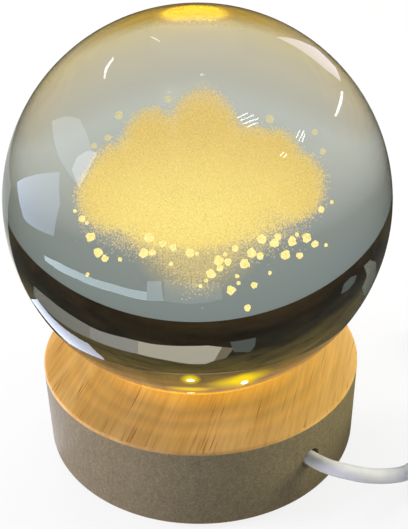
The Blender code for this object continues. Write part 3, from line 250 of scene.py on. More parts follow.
sheath = {"Roughness": 0.3, "Coat_Weight": 0.15, "Coat_Roughness": 0.12}
cord_pvc, tree, shader = new_material("extruded white PVC lead", **sheath)
dust = add(
    "TexNoise", {"Vector": add("TexCoord", tree=tree).outputs["Object"], "Scale": 420, "Detail": 3}
).outputs["Fac"]
tone = add("ValToRGB", {"Fac": dust}, stops=[(0.35, "#e6ecf3"), (0.65, "#f0f4f8")]).outputs["Color"]
feed(
    shader,
    Base_Color=tone,
    Normal=add("Bump", {"Height": dust, "Strength": 0.1, "Distance": 0.0001}).outputs["Normal"],
)

lead_to_switch = lead_curve("lead_to_switch", first_lead)
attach(lead_to_switch, "lamp")
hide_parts("cord_run", "cord_coil", "cord_tail")
lead_to_plug = lead_curve("lead_to_plug", second_lead)
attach(lead_to_plug, "lamp")
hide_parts("cord_lead")
for piece in (lead_to_switch, lead_to_plug):
    keep_out_of_glass(piece)


# Coil tie
# A soft woven hook-and-loop strap, 6 mm wide, closed round the coil's section to keep its turns together.
def face_outward(bm):
    bmesh.ops.recalc_face_normals(bm, faces=bm.faces)


def mesh_of(name, bm):
    mesh = bpy.data.meshes.new(name)
    bm.to_mesh(mesh)
    bm.free()
    return mesh


def smooth(mesh):
    """Shaded smooth, but for edges sharper than SHARP_DEG."""
    mesh.shade_smooth()
    mesh.set_sharp_from_angle(angle=radians(SHARP_DEG))


def finish_piece(name, bm, materials, body, replaced=()):
    """The mesh as an object at the origin, riding on its body."""
    mesh = mesh_of(name, bm)
    smooth(mesh)
    for material in materials:
        mesh.materials.append(material)
    piece = placed(name, mesh)
    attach(piece, body)
    if replaced:
        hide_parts(*replaced)
    return piece


def block(bm, low, high, corner=0.0, edge=0.0, long_axis=2, corner_segments=6, edge_segments=3):
    """A block between two corners: its edges along one axis rounded by corner, the rest by edge."""
    low, high = Vector(low), Vector(high)
    made = bmesh.ops.create_cube(bm, size=1)["verts"]
    bmesh.ops.scale(bm, verts=made, vec=high - low)
    bmesh.ops.translate(bm, verts=made, vec=(low + high) / 2)
    faces = {f for v in made for f in v.link_faces}

    def runs_along(e):
        return abs((e.verts[0].co - e.verts[1].co)[long_axis]) > 1e-5

    def is_rim(e):
        return e.calc_face_angle(0) > radians(60)

    for offset, segments, chosen in ((corner, corner_segments, runs_along), (edge, edge_segments, is_rim)):
        if offset:
            edges = [e for e in {e for f in faces for e in f.edges} if chosen(e)]
            made = bmesh.ops.bevel(
                bm, geom=edges, offset=offset, segments=segments, profile=0.5, affect="EDGES", material=-1
            )
            faces = {f for f in faces if f.is_valid} | set(made["faces"])
            faces |= {f for g in list(faces) for v in g.verts for f in v.link_faces}


SHARP_DEG = 35
CLEARANCE = 0.0003
STRAP_WIDTH = 0.0060
STRAP_THICKNESS = 0.0006
STRAP_ROUND = 0.0015
STRAP_TURN = Matrix.Rotation(radians(-20), 4, "Z")
strap_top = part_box("coil_tie")[1].z

bm = bmesh.new()
strap_inner = sqrt((coil_inner_turn_radius - CORD_DIAMETER / 2) ** 2 - (STRAP_WIDTH / 2) ** 2) - CLEARANCE
strap_outer = COIL_OUTER_TURN_RADIUS + CORD_DIAMETER / 2 + CLEARANCE
strap_low = (strap_inner - STRAP_THICKNESS, -STRAP_WIDTH / 2, 0)
strap_high = (strap_outer + STRAP_THICKNESS, STRAP_WIDTH / 2, strap_top)
block(bm, strap_low, strap_high, corner=STRAP_ROUND, long_axis=1)
ends = [f for f in bm.faces if abs(f.normal.y) > 0.9]
bmesh.ops.delete(bm, geom=ends, context="FACES")
face_outward(bm)
bmesh.ops.solidify(bm, geom=bm.faces, thickness=STRAP_THICKNESS)
face_outward(bm)
bm.transform(Matrix.Translation((*COIL_CENTRE, 0)) @ STRAP_TURN)

strap_nylon, tree, shader = new_material("woven nylon strap", Roughness=0.85, Sheen_Weight=0.3)
weave = add(
    "TexWave", {"Vector": add("TexCoord", tree=tree).outputs["Object"], "Scale": 450, "Distortion": 2.0}
).outputs["Fac"]
feed(
    shader,
    Base_Color=add("Mix", {0: weave, 6: "#d4d4d2", 7: "#ececea"}, data_type="RGBA").outputs[2],
    Normal=add("Bump", {"Height": weave, "Strength": 0.5, "Distance": 0.0002}).outputs["Normal"],
)
coil_strap = finish_piece("coil_strap", bm, [strap_nylon], "lamp", ["coil_tie"])
keep_out_of_glass(coil_strap)


# Wooden base
# One turned ring of ash, oiled: the top face golden under the lamp's own light, the side finely sanded and
# darker, its grey-brown painted shade. A cone at the well's mouth seats the ball; the pocket underneath takes
# the cup and the wiring.
def turned(bm, profile, steps, closed=True):
    """A profile of (r, z) points spun round Z."""
    points = [bm.verts.new((r, 0, z)) for r, z in profile]
    edges = [bm.edges.new(pair) for pair in zip(points, points[1:])]
    if closed:
        edges.append(bm.edges.new((points[-1], points[0])))
    bmesh.ops.spin(
        bm, geom=points + edges, cent=(0, 0, 0), axis=(0, 0, 1), angle=tau, steps=steps, use_merge=True
    )
    bmesh.ops.remove_doubles(bm, verts=bm.verts, dist=1e-6)
    face_outward(bm)


def arc(centre, radius, start_deg, end_deg, steps):
    """Points of an arc in a profile's plane, ends included."""
    angles = [radians(start_deg + (end_deg - start_deg) * i / steps) for i in range(steps + 1)]
    return [(centre[0] + radius * cos(a), centre[1] + radius * sin(a)) for a in angles]


def from_axis(place):
    """The distance from the lamp's upright axis."""
    return add(
        "VectorMath",
        {0: add("VectorMath", {0: place, 1: (1, 1, 0)}, operation="MULTIPLY").outputs["Vector"]},
        operation="LENGTH",
    ).outputs["Value"]


def rod(radius, length, segments):
    """An upright round rod about the origin."""
    bm = bmesh.new()
    bmesh.ops.create_cone(bm, cap_ends=True, segments=segments, radius1=radius, radius2=radius, depth=length)
    return bm


def carve(piece, tools, cut_materials=()):
    """The piece less each tool's shape; the cut takes the tool's material where one is given."""
    for tool in tools:
        face_outward(tool)
        tool_piece = placed("tool", mesh_of("tool", tool))
        for material in cut_materials:
            tool_piece.data.materials.append(material)
        cut = piece.modifiers.new("cut", "BOOLEAN")
        cut.operation = "DIFFERENCE"
        cut.solver = "EXACT"
        cut.material_mode = "TRANSFER" if cut_materials else "INDEX"
        cut.object = tool_piece
        made = bpy.data.meshes.new_from_object(piece.evaluated_get(bpy.context.evaluated_depsgraph_get()))
        piece.modifiers.clear()
        piece.data = made
        bpy.data.objects.remove(tool_piece)
    piece.data.name = piece.name
    smooth(piece.data)


BALL_RADIUS = 0.040
BALL_CENTRE_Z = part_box("crystal_ball")[1].z - BALL_RADIUS
BLOCK_BOTTOM = 0.0013
BLOCK_TOP = 0.0215
SEAT_RADIUS = 0.0150
WELL_RADIUS = 0.0144
TOP_ROUND = 0.0006
BOTTOM_ROUND = 0.0008
REBATE_RADIUS = 0.0293
REBATE_TOP = 0.0031
POCKET_RADIUS = 0.0230
POCKET_ROOF = 0.0150
HOLE_RADIUS = 0.0024
DRILL_LENGTH = 0.018
DRILL_MIDDLE = 0.031
BLOCK_STEPS = 256

seat_angle = asin(SEAT_RADIUS / BALL_RADIUS)
seat_z = BALL_CENTRE_Z - (BALL_RADIUS + CLEARANCE) * cos(seat_angle)
seat_r = SEAT_RADIUS + CLEARANCE * sin(seat_angle)
top_start, top_end = seat_r + 0.001, BLOCK_RADIUS - TOP_ROUND
profile = [
    (WELL_RADIUS, seat_z - (seat_r - WELL_RADIUS) * tan(seat_angle)),
    (seat_r + (BLOCK_TOP - seat_z) / tan(seat_angle), BLOCK_TOP),
    *[(top_start + (top_end - top_start) * i / 12, BLOCK_TOP) for i in range(1, 12)],
    *arc((top_end, BLOCK_TOP - TOP_ROUND), TOP_ROUND, 90, 0, 5),
    *[(BLOCK_RADIUS, BLOCK_TOP - (BLOCK_TOP - BLOCK_BOTTOM) * i / 12) for i in range(1, 12)],
    *arc((BLOCK_RADIUS - BOTTOM_ROUND, BLOCK_BOTTOM + BOTTOM_ROUND), BOTTOM_ROUND, 0, -90, 5),
    (REBATE_RADIUS, BLOCK_BOTTOM), (REBATE_RADIUS, REBATE_TOP), (POCKET_RADIUS, REBATE_TOP),
    (POCKET_RADIUS, POCKET_ROOF), (WELL_RADIUS, POCKET_ROOF),
]
bm = bmesh.new()
turned(bm, profile, BLOCK_STEPS)
TOP_FACE, SIDE_FACE, WELL_FACE = range(3)
for face in bm.faces:
    middle = face.calc_center_median()
    face.material_index = SIDE_FACE if middle.z < BLOCK_TOP - TOP_ROUND else TOP_FACE
    if hypot(*middle.xy) < seat_r + 0.0003 and middle.z > POCKET_ROOF:
        face.material_index = WELL_FACE

# The top face: ash, 0.3 mm open pores in rows 1 to 3 mm apart along the grain, golden where the ball's light
# falls.
ash_top, tree, shader = new_material("oiled ash, face", Roughness=0.42, Coat_Weight=0.12, Coat_Roughness=0.25)
GRAIN_TURN = radians(15.5)
place = add("TexCoord", tree=tree).outputs["Object"]
along_grain = add("Mapping", {"Vector": place, "Rotation": (0, 0, GRAIN_TURN)}).outputs[0]
grain = add("Mapping", {"Vector": along_grain, "Scale": (1, 0.05, 1)}).outputs[0]
fine = add("TexNoise", {"Vector": grain, "Scale": 1400, "Detail": 4, "Roughness": 0.6}).outputs["Fac"]
bands = add("TexNoise", {"Vector": grain, "Scale": 190, "Detail": 3, "Distortion": 0.3}).outputs["Fac"]
pores = add(
    "TexNoise",
    {
        "Vector": add("Mapping", {"Vector": along_grain, "Scale": (1, 0.022, 1)}).outputs[0],
        "Scale": 3300,
        "Detail": 1,
    },
).outputs["Fac"]
rows = add("TexNoise", {"Vector": grain, "Scale": 330, "Detail": 2}).outputs["Fac"]
base_tone = add("ValToRGB", {"Fac": bands}, stops=[(0.34, "#b08b4e"), (0.66, "#bb9a62")]).outputs["Color"]
fine_tone = add("ValToRGB", {"Fac": fine}, stops=[(0.36, "#dcc7a4"), (0.6, "#ffffff")]).outputs["Color"]
mixed = add(
    "Mix", {0: 0.42, 6: base_tone, 7: fine_tone}, data_type="RGBA", blend_type="MULTIPLY"
).outputs[2]
pore_share = add(
    "Math",
    {
        0: add("MapRange", {"Value": pores, 1: 0.62, 2: 0.70}).outputs[0],
        1: add("MapRange", {"Value": rows, 1: 0.46, 2: 0.54}).outputs[0],
    },
    operation="MULTIPLY",
).outputs[0]
with_pores = add("Mix", {0: pore_share, 6: mixed, 7: "#8f6230"}, data_type="RGBA").outputs[2]
feed(
    shader,
    Base_Color=with_pores,
    Normal=add(
        "Bump", {"Height": pore_share, "Strength": 0.5, "Distance": 0.0002}, invert=True
    ).outputs["Normal"],
)
# Light of the lamp that the ball throws on the wood: bright beside the ball, with two soft rings outside it.
wobble = add(
    "Math",
    {0: add("TexNoise", {"Vector": place, "Scale": 60, "Detail": 2}).outputs["Fac"], 1: 0.004, 2: -0.002},
    operation="MULTIPLY_ADD",
).outputs[0]
ring_at = add("Math", {0: from_axis(place), 1: wobble}, operation="ADD").outputs[0]
RING_LEVELS = [
    (0.0, 1.0), (0.42, 1.0), (0.50, 0.70), (0.60, 0.21), (0.66, 0.26), (0.70, 0.10), (0.76, 0.2),
    (0.80, 0.07), (0.90, 0.05), (1.0, 0.0),
]
rings = add(
    "ValToRGB",
    {"Fac": add("Math", {0: ring_at, 1: 0.040}, operation="DIVIDE").outputs[0]},
    stops=[(at, (level,) * 3) for at, level in RING_LEVELS],
).outputs["Color"]
ring_light = add(
    "Mix", {0: 1.0, 6: with_pores, 7: (1.0, 0.72, 0.10, 1)}, data_type="RGBA", blend_type="MULTIPLY"
).outputs[2]
ring_glow = add(
    "Mix", {0: 1.0, 6: ring_light, 7: rings}, data_type="RGBA", blend_type="MULTIPLY"
).outputs[2]
# Paler light to the left and right of the ball, none in front of it.
sideways = add("SeparateXYZ", {0: place}).outputs["X"]
FLANK_LEVELS = [(0.13, 0.36), (0.30, 0.07), (0.50, 0.0), (0.68, 0.10), (0.85, 0.46)]
flank_stops = [(at, (level, 0.95 * level, 0.62 * level)) for at, level in FLANK_LEVELS]
flank_stops = [(0.0, (0.48, 0.40, 0.20)), *flank_stops, (1.0, (0.62, 0.62, 0.46))]
flanks = add(
    "ValToRGB",
    {"Fac": add("MapRange", {"Value": sideways, 1: -BLOCK_RADIUS, 2: BLOCK_RADIUS}).outputs[0]},
    stops=flank_stops,
).outputs["Color"]
glow = add(
    "Mix",
    {
        0: 1.0,
        6: ring_glow,
        7: add(
            "Mix", {0: 1.0, 6: with_pores, 7: flanks}, data_type="RGBA", blend_type="MULTIPLY"
        ).outputs[2],
    },
    data_type="RGBA",
    blend_type="ADD",
).outputs[2]
# The ball's foot mirrors the rings deeper and yellower than the eye sees them.
mirrored = add("LightPath", tree=tree).outputs["Is Glossy Ray"]
yellower = add(
    "Mix", {0: 1.0, 6: ring_glow, 7: (1.0, 0.95, 0.02, 1)}, data_type="RGBA", blend_type="MULTIPLY"
).outputs[2]
glow_level = add("MapRange", {"Value": mirrored, 1: 0, 2: 1, 3: 1.6, 4: 6.0}).outputs[0]
feed(
    shader,
    Emission_Color=add("Mix", {0: mirrored, 6: glow, 7: yellower}, data_type="RGBA").outputs[2],
    Emission_Strength=glow_level,
)

# The side: the same wood sanded across and matt, with a fine fleck of 0.2 to 0.4 mm. Its grey-brown is
# painted shade: a shaded copy of the top's wood, darker away from the light.
ash_side_painted_shade, tree, shader = new_material("sanded ash, side, painted shade", Roughness=0.72)
place = add("TexCoord", tree=tree).outputs["Object"]
fleck = add("TexNoise", {"Vector": place, "Scale": 2600, "Detail": 3, "Roughness": 0.75}).outputs["Fac"]
streak = add(
    "TexNoise",
    {
        "Vector": add("Mapping", {"Vector": place, "Scale": (1, 1, 0.5)}).outputs[0],
        "Scale": 1100,
        "Detail": 4,
        "Roughness": 0.7,
    },
).outputs["Fac"]
# Painted shade: these grey-brown tones make the side darker than the top.
side_painted_shade_tone = add("ValToRGB", {"Fac": streak}, stops=[(0.3, "#80775a"), (0.7, "#938a6c")]).outputs["Color"]
fleck_tone = add("ValToRGB", {"Fac": fleck}, stops=[(0.34, "#b0a690"), (0.62, "#ffffff")]).outputs["Color"]
side_mix = add(
    "Mix", {0: 0.6, 6: side_painted_shade_tone, 7: fleck_tone}, data_type="RGBA", blend_type="MULTIPLY"
).outputs[2]
feed(
    shader,
    Base_Color=side_mix,
    Normal=add("Bump", {"Height": fleck, "Strength": 0.35, "Distance": 0.00015}).outputs["Normal"],
)

# The well and the seat, bright yellow where the chips shine on bare wood a few millimetres away: mirrored in
# the ball's crown, they make its yellow oval.
lit_well, tree, shader = new_material("lit wood of the well", Roughness=0.6, Base_Color="#e3b878")
place = add("TexCoord", tree=tree).outputs["Object"]
ribs = add(
    "TexNoise",
    {
        "Vector": add("Mapping", {"Vector": place, "Scale": (1, 1, 0.15)}).outputs[0],
        "Scale": 900,
        "Detail": 2,
    },
).outputs["Fac"]
tone = add("Mix", {0: ribs, 6: (1.0, 0.42, 0.0, 1), 7: (1.0, 0.80, 0.0, 1)}, data_type="RGBA").outputs[2]
rim_tone = add(
    "Mix",
    {
        0: add("MapRange", {"Value": from_axis(place), 1: 0.0150, 2: 0.0157}).outputs[0],
        6: tone,
        7: (0.12, 0.02, 0.0, 1),
    },
    data_type="RGBA",
).outputs[2]
ray = add("LightPath", tree=tree).outputs
in_glass = add(
    "Math", {0: ray["Is Glossy Ray"], 1: ray["Is Transmission Ray"]}, operation="MAXIMUM"
).outputs[0]
feed(
    shader,
    Emission_Color=rim_tone,
    Emission_Strength=add("MapRange", {"Value": in_glass, 1: 0, 2: 1, 3: 1.5, 4: 11.0}).outputs[0],
)

woods = [ash_top, ash_side_painted_shade, lit_well]
turned_base = finish_piece("turned_base", bm, woods, "lamp", ["base_block"])
drill = rod(HOLE_RADIUS, DRILL_LENGTH, 48)
lean = Vector((0, 0, 1)).rotation_difference(outward).to_matrix().to_4x4()
drill_place = Matrix.Translation(outward * DRILL_MIDDLE + Vector((0, 0, CORD_HOLE_HEIGHT)))
drill.transform(drill_place @ lean)
carve(turned_base, [drill], [ash_side_painted_shade])


# Anti-slip pad
# A disc of black EVA foam, 66 mm across and 1 mm thick, glued under the base.
PAD_RADIUS = 0.0330
PAD_THICKNESS = 0.0010
PAD_EDGE = 0.0003

bm = bmesh.new()
pad_edge = [(PAD_RADIUS - PAD_EDGE, PAD_THICKNESS), (PAD_RADIUS, PAD_THICKNESS - PAD_EDGE), (PAD_RADIUS, 0)]
turned(bm, [(0, PAD_THICKNESS), *pad_edge, (0, 0)], 192, closed=False)
eva_foam, tree, shader = new_material("cut EVA foam", Roughness=0.95)
cells = add(
    "TexVoronoi", {"Vector": add("TexCoord", tree=tree).outputs["Object"], "Scale": 2200}
).outputs["Distance"]
feed(
    shader,
    Base_Color=add("Mix", {0: cells, 6: "#1b1b1c", 7: "#353536"}, data_type="RGBA").outputs[2],
    Normal=add("Bump", {"Height": cells, "Strength": 0.6, "Distance": 0.0001}).outputs["Normal"],
)
finish_piece("foam_pad", bm, [eva_foam], "lamp", ["base_pad"])


# Reflector cup, LED board and wiring
# A white moulded cup hangs in the well on three screws. Five warm chips on a white lacquered disc light it.
def plain_finish(name, low, high, scale, detail=3, relief=0.2, **values):
    """Two close tones, mottled at the given scale, with a matching relief."""
    material, tree, shader = new_material(name, **values)
    mottle = add(
        "TexNoise",
        {"Vector": add("TexCoord", tree=tree).outputs["Object"], "Scale": scale, "Detail": detail},
    ).outputs["Fac"]
    feed(shader, Base_Color=add("Mix", {0: mottle, 6: low, 7: high}, data_type="RGBA").outputs[2])
    if relief:
        feed(
            shader,
            Normal=add(
                "Bump", {"Height": mottle, "Strength": relief, "Distance": 0.0001}
            ).outputs["Normal"],
        )
    return material


def glowing_finish(name, low, high, scale, strength, detail=2, **values):
    """A light of two close tones, mottled at the given scale."""
    material, tree, shader = new_material(name, **values)
    tone = add(
        "Mix",
        {
            0: add(
                "TexNoise",
                {"Vector": add("TexCoord", tree=tree).outputs["Object"], "Scale": scale, "Detail": detail},
            ).outputs["Fac"],
            6: low,
            7: high,
        },
        data_type="RGBA",
    ).outputs[2]
    feed(shader, Emission_Color=tone, Emission_Strength=strength)
    return material


def dress(name, material):
    """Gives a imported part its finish."""
    nodes[name].data.materials.clear()
    nodes[name].data.materials.append(material)


CUP_INNER_RADIUS = 0.0136
CUP_OUTER_RADIUS = 0.0149
CUP_FLANGE_RADIUS = 0.0189
CUP_TOP = 0.0147
CUP_FLANGE_BOTTOM = 0.0132
CUP_BOTTOM = 0.0082
CUP_FLOOR = 0.0094
CUP_LEDGE_RADIUS = 0.0106
LUG_REACH = 0.0009
LUG_HALF_WIDTH = 0.0012
LUG_COUNT = 3
LED_COUNT = 5
LED_RING_RADIUS = 0.0095
LED_FIRST = radians(31)
LED_WIDTH = 0.0028
LED_LENGTH = 0.0035
LED_BOTTOM = 0.0110
LED_TOP = 0.0122
LED_WINDOW_RADIUS = 0.0011

bm = bmesh.new()
profile = [
    (CUP_INNER_RADIUS, CUP_TOP), (CUP_FLANGE_RADIUS, CUP_TOP), (CUP_FLANGE_RADIUS, CUP_FLANGE_BOTTOM),
    (CUP_OUTER_RADIUS, CUP_FLANGE_BOTTOM), (CUP_OUTER_RADIUS, CUP_BOTTOM), (CUP_LEDGE_RADIUS, CUP_BOTTOM),
    (CUP_LEDGE_RADIUS, CUP_FLOOR), (CUP_INNER_RADIUS, CUP_FLOOR),
]
turned(bm, profile, 160)
for number in range(LUG_COUNT):
    before = set(bm.verts)
    lug_low = (CUP_INNER_RADIUS - LUG_REACH, -LUG_HALF_WIDTH, 0.0110)
    block(bm, lug_low, (CUP_INNER_RADIUS + 0.0006, LUG_HALF_WIDTH, 0.0118), edge=0.0002)
    turn = Matrix.Rotation(LED_FIRST + pi / LED_COUNT + number * tau / LUG_COUNT, 4, "Z")
    bmesh.ops.transform(bm, matrix=turn, verts=[v for v in bm.verts if v not in before])
white = plain_finish("moulded white polycarbonate", "#e6e2d6", "#f2efe6", 900, 2, 0.15, Roughness=0.35)
finish_piece("reflector_cup", bm, [white], "lamp", ["led_cup"])

chip_body = plain_finish("moulded white LED housing", "#e9e6dc", "#f6f4ee", 3000, 2, 0, Roughness=0.5)
# Yellow phosphor in clear resin, lit from below by the chip: warm white, the strongest light in the lamp.
LED_LOW, LED_HIGH = (1.0, 0.56, 0.10, 1), (1.0, 0.66, 0.16, 1)
resin = {"Roughness": 0.3, "Base_Color": "#ffc64a"}
phosphor = glowing_finish("lit LED phosphor", LED_LOW, LED_HIGH, 4000, 60, **resin)
for number in range(LED_COUNT):
    bm = bmesh.new()
    high = Vector((LED_WIDTH / 2, LED_LENGTH / 2, LED_TOP))
    block(bm, (-high.x, -high.y, LED_BOTTOM), high, corner=0.0003, edge=0.0001, corner_segments=3)
    lens = bmesh.ops.create_uvsphere(bm, u_segments=24, v_segments=12, radius=LED_WINDOW_RADIUS)["verts"]
    bmesh.ops.scale(bm, verts=lens, vec=(1, 1, 0.2))
    bmesh.ops.translate(bm, verts=lens, vec=(0, 0, LED_TOP - 0.0001))
    for face in bm.faces:
        face.material_index = 1 if all(v in lens for v in face.verts) else 0
    bmesh.ops.translate(bm, verts=bm.verts, vec=(LED_RING_RADIUS, 0, 0))
    turn = Matrix.Rotation(LED_FIRST + number * tau / LED_COUNT, 4, "Z")
    bm.transform(turn)
    replaced = [f"led_{number + 1}"]
    finish_piece("lit_" + replaced[0], bm, [chip_body, phosphor], "lamp", replaced)

lacquer, tree, shader = new_material("white lacquered board", Roughness=0.4)
brick_tones = {"Color1": "#eceade", "Color2": "#e2dfd2", "Mortar": "#f4f2ea"}
tracks = add(
    "TexBrick", {"Vector": add("TexCoord", tree=tree).outputs["Object"], "Scale": 260, **brick_tones}
)
feed(shader, Base_Color=tracks.outputs["Color"])
dress("led_board", lacquer)

zinc = plain_finish("zinc plated steel", "#b9b9bc", "#d8d8da", 1500, Metallic=1.0, Roughness=0.3)
ceramic = plain_finish("black resistor ceramic", "#141414", "#242424", 2500, Roughness=0.5)
red_pvc = plain_finish("red wire PVC", "#a81512", "#c2201a", 900, Roughness=0.4)
black_pvc = plain_finish("black wire PVC", "#141415", "#222224", 900, Roughness=0.4)
natural_nylon = plain_finish("natural nylon tie", "#dad9d2", "#e9e8e2", 700, Roughness=0.45)
black_abs = plain_finish("black moulded ABS", "#161617", "#242426", 800, Roughness=0.5)
brass = plain_finish("rolled brass", "#c9a552", "#dcbc6c", 1200, Metallic=1.0, Roughness=0.28)
finishes = {
    ("cup_screw", "cover_screw", "switch_screw"): zinc,
    ("board_resistor",): ceramic,
    ("wire_red", "switch_red_wire"): red_pvc,
    ("wire_black", "switch_black_wire"): black_pvc,
    ("inner_tie",): natural_nylon,
    ("bottom_cover",): black_abs,
    ("switch_contact", "plug_contact"): brass,
}
for beginnings, material in finishes.items():
    for name in nodes:
        if name.startswith(beginnings):
            dress(name, material)


# Glass ball
# A ground and polished ball of crystal glass, 80 mm across, loose on its seat: it lifts off the base.
bm = bmesh.new()
bmesh.ops.create_uvsphere(bm, u_segments=192, v_segments=96, radius=BALL_RADIUS)
bmesh.ops.translate(bm, verts=bm.verts, vec=(0, 0, BALL_CENTRE_Z))
# Clear glass shows the room; the grey between its images is painted shade, given as a light smoke tone in the
# glass.
GLASS_IOR = 1.5
GLASS_LOOK = {"Base_Color": "#b3bab6", "Roughness": 0.0, "IOR": GLASS_IOR, "Transmission_Weight": 1.0}
crystal = new_material("polished crystal glass", **GLASS_LOOK)[0]
finish_piece("glass_ball", bm, [crystal], "ball", ["crystal_ball"])


# Engraved cloud
# Fine points burnt into the glass by a laser: a billowy cloud with drops under it, lit gold from the base.
ball_centre = Vector((0, 0, BALL_CENTRE_Z))


def bent_ray(px, py):
    """Where the view through one pixel of the picture enters the ball, and its way before and inside it."""
    x, y = (px - PICTURE_SIZE[0] / 2) / FOCAL_PIXELS, (PICTURE_SIZE[1] / 2 - py) / FOCAL_PIXELS
    way = (camera_turn.to_3x3() @ Vector((x, y, -1))).normalized()
    eye = Vector(CAMERA_PLACE) - ball_centre
    along = eye.dot(way)
    entry = eye - way * (along + sqrt(along**2 - eye.length_squared + BALL_RADIUS**2))
    return entry + ball_centre, way, refracted(way, entry / BALL_RADIUS, 1 / GLASS_IOR)


def refracted(way, normal, ratio):
    cosine = -way.dot(normal)
    return way * ratio + normal * (ratio * cosine - sqrt(1 - ratio**2 * (1 - cosine**2)))


def into_ball(px, py, depth=0.0):
    """The place that a pixel of the picture shows on the upright plane y = depth inside the ball."""
    entry, _, inside = bent_ray(px, py)
    return entry + inside * ((depth - entry.y) / inside.y)


def burnt_points(bm, places, smallest, largest):
    """A tiny four-sided splinter at each place."""
    corners = ((1, 0, -0.5), (-0.5, 0.87, -0.5), (-0.5, -0.87, -0.5), (0, 0, 1))
    for place in places:
        size = random.uniform(smallest, largest)
        about_x = Matrix.Rotation(random.uniform(0, tau), 3, "X")
        turn = about_x @ Matrix.Rotation(random.uniform(0, tau), 3, "Z")
        a, b, c, d = [bm.verts.new(place + turn @ Vector(corner) * size) for corner in corners]
        for face in ((a, c, b), (a, b, d), (b, c, d), (c, a, d)):
            bm.faces.new(face)


def heart_share(place, near):
    """1 in the cloud's heart, which the lamp lights best, and 0 at its rim."""
    away = add(
        "VectorMath",
        {
            0: add("VectorMath", {0: place, 1: cloud_heart}, operation="SUBTRACT").outputs["Vector"],
            1: (1, 1, 1.7),
        },
        operation="MULTIPLY",
    ).outputs["Vector"]
    return add(
        "MapRange",
        {
            "Value": add("VectorMath", {0: away}, operation="LENGTH").outputs["Value"],
            1: near,
            2: 0.025,
            3: 1.0,
            4: 0.0,
        },
    ).outputs[0]


def bare_material(name):
    """A material without its usual shader, with its nodes and the last one."""
    material = bpy.data.materials.new(name)
    material.use_nodes = True
    tree = material.node_tree
    tree.nodes.remove(tree.nodes["Principled BSDF"])
    return material, tree, tree.nodes["Material Output"]


def faded_light(share, colour, strength):
    """Light over clear glass, by its share."""
    tree = share.id_data
    clear = add("BsdfTransparent", tree=tree).outputs[0]
    shine = add("Emission", {"Color": colour, "Strength": strength}, tree=tree).outputs[0]
    return add("MixShader", {0: share, 1: clear, 2: shine}).outputs[0]


random.seed(7)
# Billows, each as the middle, half width and half height of an oval in the picture, in pixels
BILLOWS = [
    (152, 152, 30, 43), (203, 142, 37, 51), (126, 182, 38, 40), (112, 197, 34, 34), (245, 168, 42, 42),
    (273, 163, 28, 33), (294, 186, 30, 35), (200, 200, 104, 45), (190, 226, 70, 26),
]
CLOUD_HALF_DEPTH = 0.009
FRINGE_PIXELS = 3.2
POINT_COUNT = 46000

areas = [w * h for _, _, w, h in BILLOWS]
places = []
for x, y, half_width, half_height in random.choices(BILLOWS, areas, k=POINT_COUNT):
    reach, angle = sqrt(random.random()), random.uniform(0, tau)
    px = x + half_width * reach * cos(angle) + random.gauss(0, FRINGE_PIXELS)
    py = y + half_height * reach * sin(angle) + random.gauss(0, FRINGE_PIXELS)
    depth = CLOUD_HALF_DEPTH * sqrt(1 - reach**2) * random.uniform(-1, 1)
    places.append(into_ball(px, py, depth))
bm = bmesh.new()
burnt_points(bm, places, 0.00007, 0.00014)
cloud_heart = into_ball(190, 207)
engraving, tree, shader = new_material("laser points in glass", Roughness=0.8, Base_Color="#2a2212")
place = add("TexCoord", tree=tree).outputs["Object"]
tone = add("Mix", {0: heart_share(place, 0.007), 6: "#e6c478", 7: "#fbdf88"}, data_type="RGBA").outputs[2]
level = add(
    "MapRange",
    {
        "Value": add("TexNoise", {"Vector": place, "Scale": 2200, "Detail": 1}).outputs["Fac"],
        1: 0.3,
        2: 0.7,
        3: 0.88,
        4: 1.15,
    },
).outputs[0]
feed(
    shader,
    Emission_Color=add(
        "Mix", {0: 1.0, 6: tone, 7: level}, data_type="RGBA", blend_type="MULTIPLY"
    ).outputs[2],
    Emission_Strength=1.55,
)
finish_piece("cloud_points", bm, [engraving], "ball")

# Mist: points too fine to tell apart, as three thin sheets whose cover falls off towards the billows' rims
MIST_DEPTHS = (-0.005, 0.0, 0.005)
MIST_STEP = 4
HAZE = (196, 253, 64, 45, 0.42)
bm = bmesh.new()
cover = bm.verts.layers.float.new("cover")
columns, rows_down = range(56, 345, MIST_STEP), range(76, 307, MIST_STEP)
for depth in MIST_DEPTHS:
    sheet = []
    for py in rows_down:
        line = []
        for px in columns:
            vert = bm.verts.new(into_ball(px, py, depth))
            rim = min(hypot((px - x) / w, (py - y) / h) for x, y, w, h in BILLOWS)
            haze = HAZE[4] * (1 - hypot((px - HAZE[0]) / HAZE[2], (py - HAZE[1]) / HAZE[3]))
            vert[cover] = max(0.0, haze, min(1.0, (1.09 - rim) / 0.45))
            line.append(vert)
        sheet.append(line)
    for upper, lower in zip(sheet, sheet[1:]):
        for a, b, c, d in zip(upper, upper[1:], lower[1:], lower):
            if max(v[cover] for v in (a, b, c, d)) > 0:
                bm.faces.new((a, b, c, d))
bmesh.ops.delete(bm, geom=[v for v in bm.verts if not v.link_faces], context="VERTS")
mist, tree, output = bare_material("laser mist in glass")
place = add("TexCoord", tree=tree).outputs["Object"]
tone = add("Mix", {0: heart_share(place, 0.006), 6: "#e3c06a", 7: "#fadd80"}, data_type="RGBA").outputs[2]
grains = add("TexNoise", {"Vector": place, "Scale": 3200, "Detail": 2}).outputs["Fac"]
thick = add("Attribute", tree=tree, attribute_name="cover").outputs["Fac"]
share = add(
    "Math",
    {0: thick, 1: add("MapRange", {"Value": grains, 1: 0.35, 2: 0.65, 3: 0.35, 4: 0.75}).outputs[0]},
    operation="MULTIPLY",
).outputs[0]
feed(
    output,
    Surface=faded_light(
        share, tone, add("MapRange", {"Value": grains, 1: 0.35, 2: 0.65, 3: 1.25, 4: 1.75}).outputs[0]
    ),
)
finish_piece("cloud_mist", bm, [mist], "ball")
